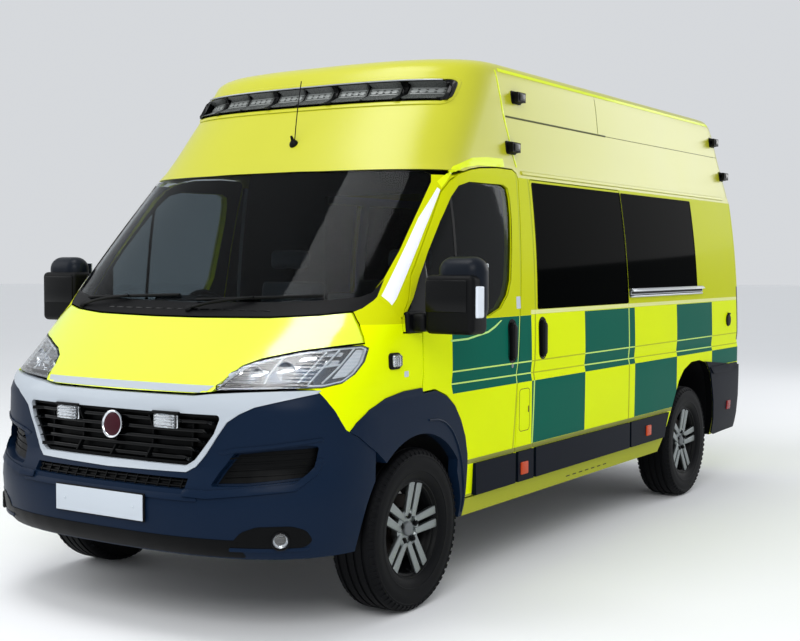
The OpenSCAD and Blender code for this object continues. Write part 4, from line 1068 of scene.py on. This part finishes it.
# The wheel's repeats: spokes and bolts, the bolts' radius, the first spoke's turn in degrees,
# the tread's lugs, and the tyre radius and width that the tyre's section is drawn at
SPOKES, BOLT_R, FIRST_SPOKE, LUGS = 5, 62, 169, 64
DRAWN_R, DRAWN_W = 368, 225


class AMBULANCE_OT_wheels(bpy.types.Operator):
    """Turn the rims and tyres, and fit spokes, caps, nuts, valves and tread blocks"""
    bl_idname = "ambulance.wheels"
    bl_label = "Wheels and tyres"

    def execute(self, context):
        for end in ("front", "rear"):
            for side in ("left", "right"):
                self.wheel(end, side)
        return {"FINISHED"}

    def wheel(self, end, side):
        node = f"wheel_{end}_{side}"
        out = 1 if side == "left" else -1
        centre = Vector((out * (HUB_X if end == "front" else REAR_HUB_X), 0 if end == "front"
            else WHEELBASE, AXLE_Z))
        spot = Matrix.Translation(centre) @ Matrix(((0, 0, out, 0), (0, out, 0, 0), (-1, 0, 0, 0),
            (0, 0, 0, 1)))

        def put(name, bm, finish_name, replaces=()):
            bm.transform(spot)
            piece(f"{name}_{end}_{side}", bm, finish_name, node, replaces)

        # The rim's barrel is near-black: painted shade for the dark seen between the spokes.
        put("rim_barrel", turned([(222, 86), (223, 88), (216, 88), (212, 82), (209, 74), (203, 70),
            (199, 64), (197, 50), (192, 40), (186, 30), (182, 10), (181, -36), (190, -48),
            (196, -54), (196, -70), (210, -80), (216, -88), (223, -88), (218, -80), (203, -74),
            (203, -50), (188, -36), (188, 30), (203, 44), (203, 74), (218, 80), (222, 86)], 72),
            "rim_dark", (node,))
        spokes = []
        for i in range(SPOKES):
            for lean in (-1, 1):
                spoke = bmesh.new()
                bmesh.ops.create_cube(spoke, size=1)
                bmesh.ops.scale(spoke, vec=(158, 36, 24), verts=spoke.verts)
                for vert in spoke.verts:
                    if vert.co.x > 0:
                        vert.co.y *= 1.2
                        vert.co.y += lean * 5
                        vert.co.z += 13 if vert.co.z > 0 else 16
                    else:
                        vert.co.y *= 0.85
                bmesh.ops.bevel(spoke, geom=spoke.edges[:], offset=6, segments=3, profile=0.5,
                    affect="EDGES", material=-1)
                bmesh.ops.translate(spoke, vec=(134, lean * 27, 60), verts=spoke.verts)
                turn = math.radians(FIRST_SPOKE) + math.tau * i / SPOKES
                spoke.transform(Matrix.Rotation(out * turn, 4, "Z"))
                spokes.append(spoke)
        hub = turned([(0, 30), (86, 30), (90, 50), (88, 62), (80, 69), (70, 71), (66, 68),
            (62, 58), (36, 58), (0, 58)], 60)
        put("spokes", joined(spokes + [hub]), "alloy")
        cap = turned([(32, 54), (32, 68), (29, 72), (22, 74), (10, 75), (0, 75.5)], 40)
        put("hub_cap", cap, "cap_grey")
        nuts, valve = [], tube([(183, 0, 56), (190, 0, 66), (192, 0, 80)], 4)
        for profile, sides in (([(11, 58), (12, 68), (10, 76), (6, 79), (0, 80)], 6), ([(17, 66),
                (17, 69.5), (14, 69), (0, 67)], 16)):
            for i in range(SPOKES):
                nut = turned(profile, sides)
                nut.transform(Matrix.Rotation(math.tau * (i + 0.5) / SPOKES, 4, "Z")
                    @ Matrix.Translation((BOLT_R, 0, 0)))
                nuts.append(nut)
        put("wheel_nuts", joined(nuts + [valve]), "black")
        disc = turned([(60, -6), (150, -6), (152, -2), (152, 12), (150, 16), (92, 16), (88, 28),
            (60, 28)], 60)
        put("brake_disc", disc, "disc")
        half_profile = [(203.4, 73), (216, 79.5), (225, 90), (233, 97), (243, 102), (256, 106),
            (262, 107), (264, 109), (269, 109), (272, 108.6), (290, 112), (304, 112.5),
            (318, 111.5), (327, 109.5), (330, 109.5), (332, 111), (337, 110), (344, 106.5),
            (351, 102), (357, 97), (361, 92), (364, 87), (366.5, 80), (367.6, 72), (361, 70.5),
            (360, 64), (361, 58), (368, 56.5), (368, 27), (361, 25.5), (360, 20), (361, 15),
            (368, 13.5)]
        grow_r, grow_w = TYRE_R / DRAWN_R, TYRE_W / DRAWN_W
        profile = [(r * grow_r, z * grow_w) for r, z in half_profile]
        inside = [(205, -62), (260, -88), (330, -96), (350, -60), (350, 60), (330, 96), (260, 88),
            (205, 62), profile[0]]
        tyre = turned(profile + [(r, -z) for r, z in reversed(profile)] + inside, 84)
        blocks = []
        for face in (-1, 1):
            lug = bmesh.new()
            bmesh.ops.create_cube(lug, size=1)
            bmesh.ops.scale(lug, vec=(30, 19, 7), verts=lug.verts)
            bmesh.ops.bevel(lug, geom=lug.edges[:], offset=1.5, segments=1, profile=0.5,
                affect="EDGES", material=-1)
            lug.transform(Matrix.Translation((351.5 * grow_r, 0, face * 100 * grow_w))
                @ Matrix.Rotation(face * math.radians(47), 4, "Y"))
            bmesh.ops.spin(lug, geom=lug.verts[:] + lug.edges[:] + lug.faces[:], cent=(0, 0, 0),
                axis=(0, 0, 1), use_duplicate=True, angle=math.tau * (LUGS - 1) / LUGS,
                steps=LUGS - 1)
            blocks.append(lug)
        put("tyre_finished", joined([tyre] + blocks), "rubber", (f"tyre_{end}_{side}",))


class AMBULANCE_OT_rear(bpy.types.Operator):
    """Fit the rear doors' hinges and handles, the lamps, the plate and the step's tread"""
    bl_idname = "ambulance.rear"
    bl_label = "Rear"

    def execute(self, context):
        door = ("rear_door_left",)
        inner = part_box("rear_door_left")[1].x * 1000 + 26
        outer = (TO_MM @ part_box("rear_lamps")[1]).x - 16
        for name, z0, z1, finish_name in (("tail", 1292, 1396, "red"),
                ("indicator", 1204, 1288, "amber"), ("reversing", 1126, 1200, "clear"),
                ("fog", 1014, 1122, "red")):
            pair("rear_lamp_" + name, plaque([(inner, z0), (outer, z0), (outer, z1), (inner, z1)],
                "rear", ("rear_lamps",), 1.5, 14, corner=5, step=24, edge=2), finish_name)
        smoothed("black", ("rear_lamps",))
        hinges = joined([part for z in (640, 1260, 1900)
            for part in (plaque(box(822 - (z > 1500) * 45, z, 120, 46), "rear", door, 8, 2,
            corner=8, step=50, edge=3), aimed(turned([(11, -34), (11, 34), (8, 37), (0, 37)], 20),
            spot_on(876 - (z > 1500) * 45, z, "rear", door, 6), (0, 0, 1)))])
        pair("rear_hinges", hinges, "livery", "rear_door_left")
        piece("rear_handle", joined([plaque(box(-62, 1120, 70, 190), "rear", ("rear_door_right",),
            3, 3, corner=28, step=40, edge=2), plaque(box(-60, 1120, 40, 150), "rear",
            ("rear_door_right",), 30, -2, corner=18, step=40, edge=8)]), "black",
            "rear_door_right")
        piece("rear_latch", plaque(box(60, 1120, 26, 70), "rear", door, 4, 3, corner=8, edge=2),
            "black", "rear_door_left")
        plate_y = max(spot_on(x, 760, "rear", ("rear_door_left", "rear_door_right")).y
            for x in (150, 640))
        piece("rear_plate", block((420, plate_y + 3, 760), (520, 4, 111), 1.8), "plate",
            "rear_door_left")
        piece("rear_plate_lamp", block((420, plate_y + 10, 836), (180, 24, 26), 7), "black",
            "rear_door_left")
        pair("rear_pressing", band_round([(90, 640), (90, 1230), (800, 1230), (800, 640)], "rear",
            door, 5, 2.2, 2, corner=60, step=90, edge=1.2), "livery", "rear_door_left")
        step_front, step_back = [int((TO_MM @ corner).y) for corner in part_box("rear_step")]
        piece("step_tread", joined([plaque(box(0, y, 1480, 5), "top", ("rear_step",), 3, 2,
            corner=2, step=400, edge=1) for y in range(step_front + 12, step_back - 8, 13)]),
            "black")
        piece("high_brake_lamp", plaque(box(0, 2120, 300, 28), "rear", ("roof",), 8, 3, corner=8,
            step=60, edge=3), "red")
        pair("rear_beacon", plaque(box(640, 2220, 150, 70), "rear", ("roof",), 16, 4, corner=16,
            step=40, edge=6), "clear")
        return {"FINISHED"}


class AMBULANCE_OT_cabin(bpy.types.Operator):
    """Pad the seats and fit the dashboard's details and the steering wheel"""
    bl_idname = "ambulance.cabin"
    bl_label = "Cabin"

    def execute(self, context):
        plinths, belts = [], []
        seat_z = 860
        seats = ((-480, 430, 500), (340, 430, 520), (-690, 2250, 440))
        for number, (x, y, width) in enumerate(seats):
            plinths.append(block((x, y + 240, (FLOOR_Z + seat_z) / 2 + 1), (width - 120, 360,
                seat_z - FLOOR_Z - 4), 12))
            cushion = block((x, y + 232, seat_z + 58), (width - 24, 440, 88), 26, 4)
            padded(f"seat_cushion_{number}", cushion, "vinyl", replaces=() if number
                else ("seats",))
            back = block((0, 0, 0), (width - 60, 92, 560), 30, 4)
            for vert in back.verts:
                if vert.co.z < 0:
                    vert.co.y *= 1.2
            back.transform(Matrix.Translation((x, y + 550, seat_z + 330))
                @ Matrix.Rotation(math.radians(-12), 4, "X"))
            padded(f"seat_back_{number}", back, "vinyl")
            rest = block((x, y + 566, 1585), (250, 74, 104), 26, 4)
            padded(f"head_rest_{number}", rest, "vinyl", cap_mm=6)
            belts.append(block((x + (width / 2 - 14), y + 440, seat_z + 40), (16, 24, 70), 5))
            plinths.append(block((x, y + 560, 1520), (60, 20, 60), 6))
        piece("seat_plinths", joined(plinths), "black")
        piece("belt_buckles", joined(belts), "red")
        smoothed("black", ("steering_wheel",), "steering_wheel")
        dash = ("dashboard",)
        vents = [aimed(turned([(34, -4), (34, 5), (29, 7), (27, 2), (0, 1)], 28),
            spot_on(x, 1235, "rear", dash), (0, 1, 0.1)) for x in (-840, -160, 60, 800)]
        piece("dash_vents", joined(vents), "gloss_black")
        piece("dash_screen", block(spot_on(-50, 1235, "rear", dash) + Vector((0, 4, 0)),
            (180, 14, 110), 5), "gloss_black")
        piece("dash_binnacle", block((-480, 120, 1362), (330, 150, 74), 26, 5), "dash")
        return {"FINISHED"}


class AMBULANCE_OT_saloon(bpy.types.Operator):
    """Pad the stretcher and fit its frame, the lockers' doors and their catches"""
    bl_idname = "ambulance.saloon"
    bl_label = "Saloon"

    def execute(self, context):
        y0 = 1950
        base = block((0, y0 + 1250, 985), (540, 1240, 60), 22, 4)
        padded("stretcher_pad", base, "pad", replaces=("stretcher",), voxel_mm=9)
        back = block((0, 0, 0), (540, 640, 60), 22, 4)
        back.transform(Matrix.Translation((0, y0 + 330, 1120))
            @ Matrix.Rotation(math.radians(-27), 4, "X"))
        padded("stretcher_back_pad", back, "pad", voxel_mm=9)
        frame_bars = [tube([(x, y0 + 20, 930), (x, y0 + 950, 930), (x, y0 + 1880, 930)], 16)
            for x in (-262, 262)]
        frame_bars += [tube([(-262, y, 930), (0, y, 930), (262, y, 930)], 13) for y in (y0 + 30,
            y0 + 640, y0 + 1260, y0 + 1870)]
        for x in (-245, 245):
            for y in (y0 + 190, y0 + 1710):
                frame_bars.append(tube([(x, y, FLOOR_Z + 70), (x, y, 760), (x, y, 925)], 14))
        frame_bars += [tube([(x, y0 + 20, 944), (x, y0 + 60, 1230), (x, y0 + 70, 1262)], 10)
            for x in (-250, 250)]
        piece("stretcher_frame", joined(frame_bars), "stretcher_paint")
        castors = [aimed(turned([(14, -14), (60, -14), (64, -8), (64, 8), (60, 14), (14, 14)], 28),
            (x, y, FLOOR_Z + 66), (1, 0, 0)) for x in (-245, 245) for y in (y0 + 190, y0 + 1710)]
        piece("stretcher_castors", joined(castors), "rubber")
        piece("stretcher_straps", joined([block((0, y0 + y, 1030), (560, 46, 8), 3)
            for y in (800, 1350)]), "red")
        fronts = []
        for i in range(4):
            fronts.append(block((-616, 1500 + 205 * i, 1100), (8, 190, 330), 3))
            fronts.append(block((-616, 1500 + 205 * i, 780), (8, 190, 270), 3))
        piece("locker_doors", joined(fronts), "lining")
        piece("locker_catches", joined([block((-610, 1500 + 205 * i, z), (10, 60, 14), 4)
            for i in range(4) for z in (1240, 890)]), "black")
        return {"FINISHED"}


# The view: lens, angles about the upright, above the level and of roll in radians, and the
# camera's place in metres from the front axle
LENS_MM = 57.1
VIEW_TURN = (0.5750287, 0.04500044, 0.00197684)
VIEW_FROM = (4.02745781, -4.79688317, 1.56655843)
# Softboxes: name, place and size in metres, and power in watts
SOFTBOXES = (("key", (5, -9, 7), 5, 420), ("fill", (-8, -6, 6), 6, 160),
    ("top", (-0.9, -2.9, 7.8), 3.3, 190), ("rim", (4.4, 10.5, 4.5), 4.5, 190))


class AMBULANCE_OT_stage(bpy.types.Operator):
    """Place the camera, the pale floor and the studio light"""
    bl_idname = "ambulance.stage"
    bl_label = "Stage"

    def execute(self, context):
        scene = context.scene
        view = bpy.data.cameras.new("view")
        view.lens, view.sensor_width = LENS_MM, 36
        camera = bpy.data.objects.new("view", view)
        around, tip, roll = VIEW_TURN
        back = Vector((math.sin(around) * math.cos(tip), -math.cos(around) * math.cos(tip),
            math.sin(tip)))
        right = (-back).cross(Vector((0, 0, 1))).normalized()
        up = right.cross(-back)
        turned_right = math.cos(roll) * right + math.sin(roll) * up
        turned_up = math.cos(roll) * up - math.sin(roll) * right
        stand = Vector(VIEW_FROM) + Vector((0, AXLE_Y, 0))
        camera.matrix_world = Matrix((turned_right, turned_up, back)).transposed().to_4x4()
        camera.matrix_world.translation = stand
        scene.collection.objects.link(camera)
        scene.camera = camera
        bm = bmesh.new()
        bmesh.ops.create_circle(bm, cap_ends=True, segments=96,
            radius=context.scene.ambulance_sizes.floor_radius)
        mesh = bpy.data.meshes.new("studio_floor")
        bm.to_mesh(mesh)
        bm.free()
        floor = bpy.data.objects.new("studio_floor", mesh)
        made, tree, shader = start("matt studio floor", roughness=0.85, specular_ior_level=0.2)
        mottle(tree, shader, linear("#f7f8f9"), 1500, 0.02, detail=2.0)
        mesh.materials.append(made)
        scene.collection.objects.link(floor)
        scene.view_settings.view_transform = "Standard"
        world = bpy.data.worlds.new("soft studio")
        scene.world = world
        world.use_nodes = True
        world.node_tree.nodes["Background"].inputs[0].default_value = linear("#eceff3")
        world.node_tree.nodes["Background"].inputs[1].default_value = 0.8
        for name, place, size, power in SOFTBOXES:
            lamp = bpy.data.lights.new(name, "AREA")
            lamp.size = size
            lamp.energy = power
            light = bpy.data.objects.new(name, lamp)
            light.location = place
            light.rotation_euler = (Vector((0, 0, 1)) - Vector(place)).to_track_quat(
                "-Z", "Y").to_euler()
            scene.collection.objects.link(light)
        return {"FINISHED"}


OPERATORS = (AMBULANCE_OT_panels, AMBULANCE_OT_nose, AMBULANCE_OT_headlamps,
             AMBULANCE_OT_roof_lights, AMBULANCE_OT_glass_trim, AMBULANCE_OT_side_trim,
             AMBULANCE_OT_mirrors, AMBULANCE_OT_wheels, AMBULANCE_OT_rear, AMBULANCE_OT_cabin,
             AMBULANCE_OT_saloon, AMBULANCE_OT_stage)


class AMBULANCE_PT_panel(bpy.types.Panel):
    """The ambulance's pieces, listed in the sidebar"""
    bl_idname = "AMBULANCE_PT_panel"
    bl_label = "Ambulance"
    bl_space_type = "VIEW_3D"
    bl_region_type = "UI"
    bl_category = "Ambulance"

    def draw(self, context):
        for group in (context.scene.ambulance_colours, context.scene.ambulance_sizes):
            for key in group.__annotations__:
                self.layout.prop(group, key)
        for operator in OPERATORS:
            self.layout.operator(operator.bl_idname)


CLASSES = (AmbulanceColours, AmbulanceSizes) + OPERATORS + (AMBULANCE_PT_panel,)


def register():
    for cls in CLASSES:
        bpy.utils.register_class(cls)
    bpy.types.Scene.ambulance_colours = bpy.props.PointerProperty(type=AmbulanceColours)
    bpy.types.Scene.ambulance_sizes = bpy.props.PointerProperty(type=AmbulanceSizes)


def unregister():
    del bpy.types.Scene.ambulance_colours
    del bpy.types.Scene.ambulance_sizes
    for cls in reversed(CLASSES):
        bpy.utils.unregister_class(cls)


def main():
    register()
    make_finishes(bpy.context.scene.ambulance_colours)
    for operator in OPERATORS:
        group, _, call = operator.bl_idname.partition(".")
        getattr(getattr(bpy.ops, group), call)()


if __name__ == "__main__":
    main()
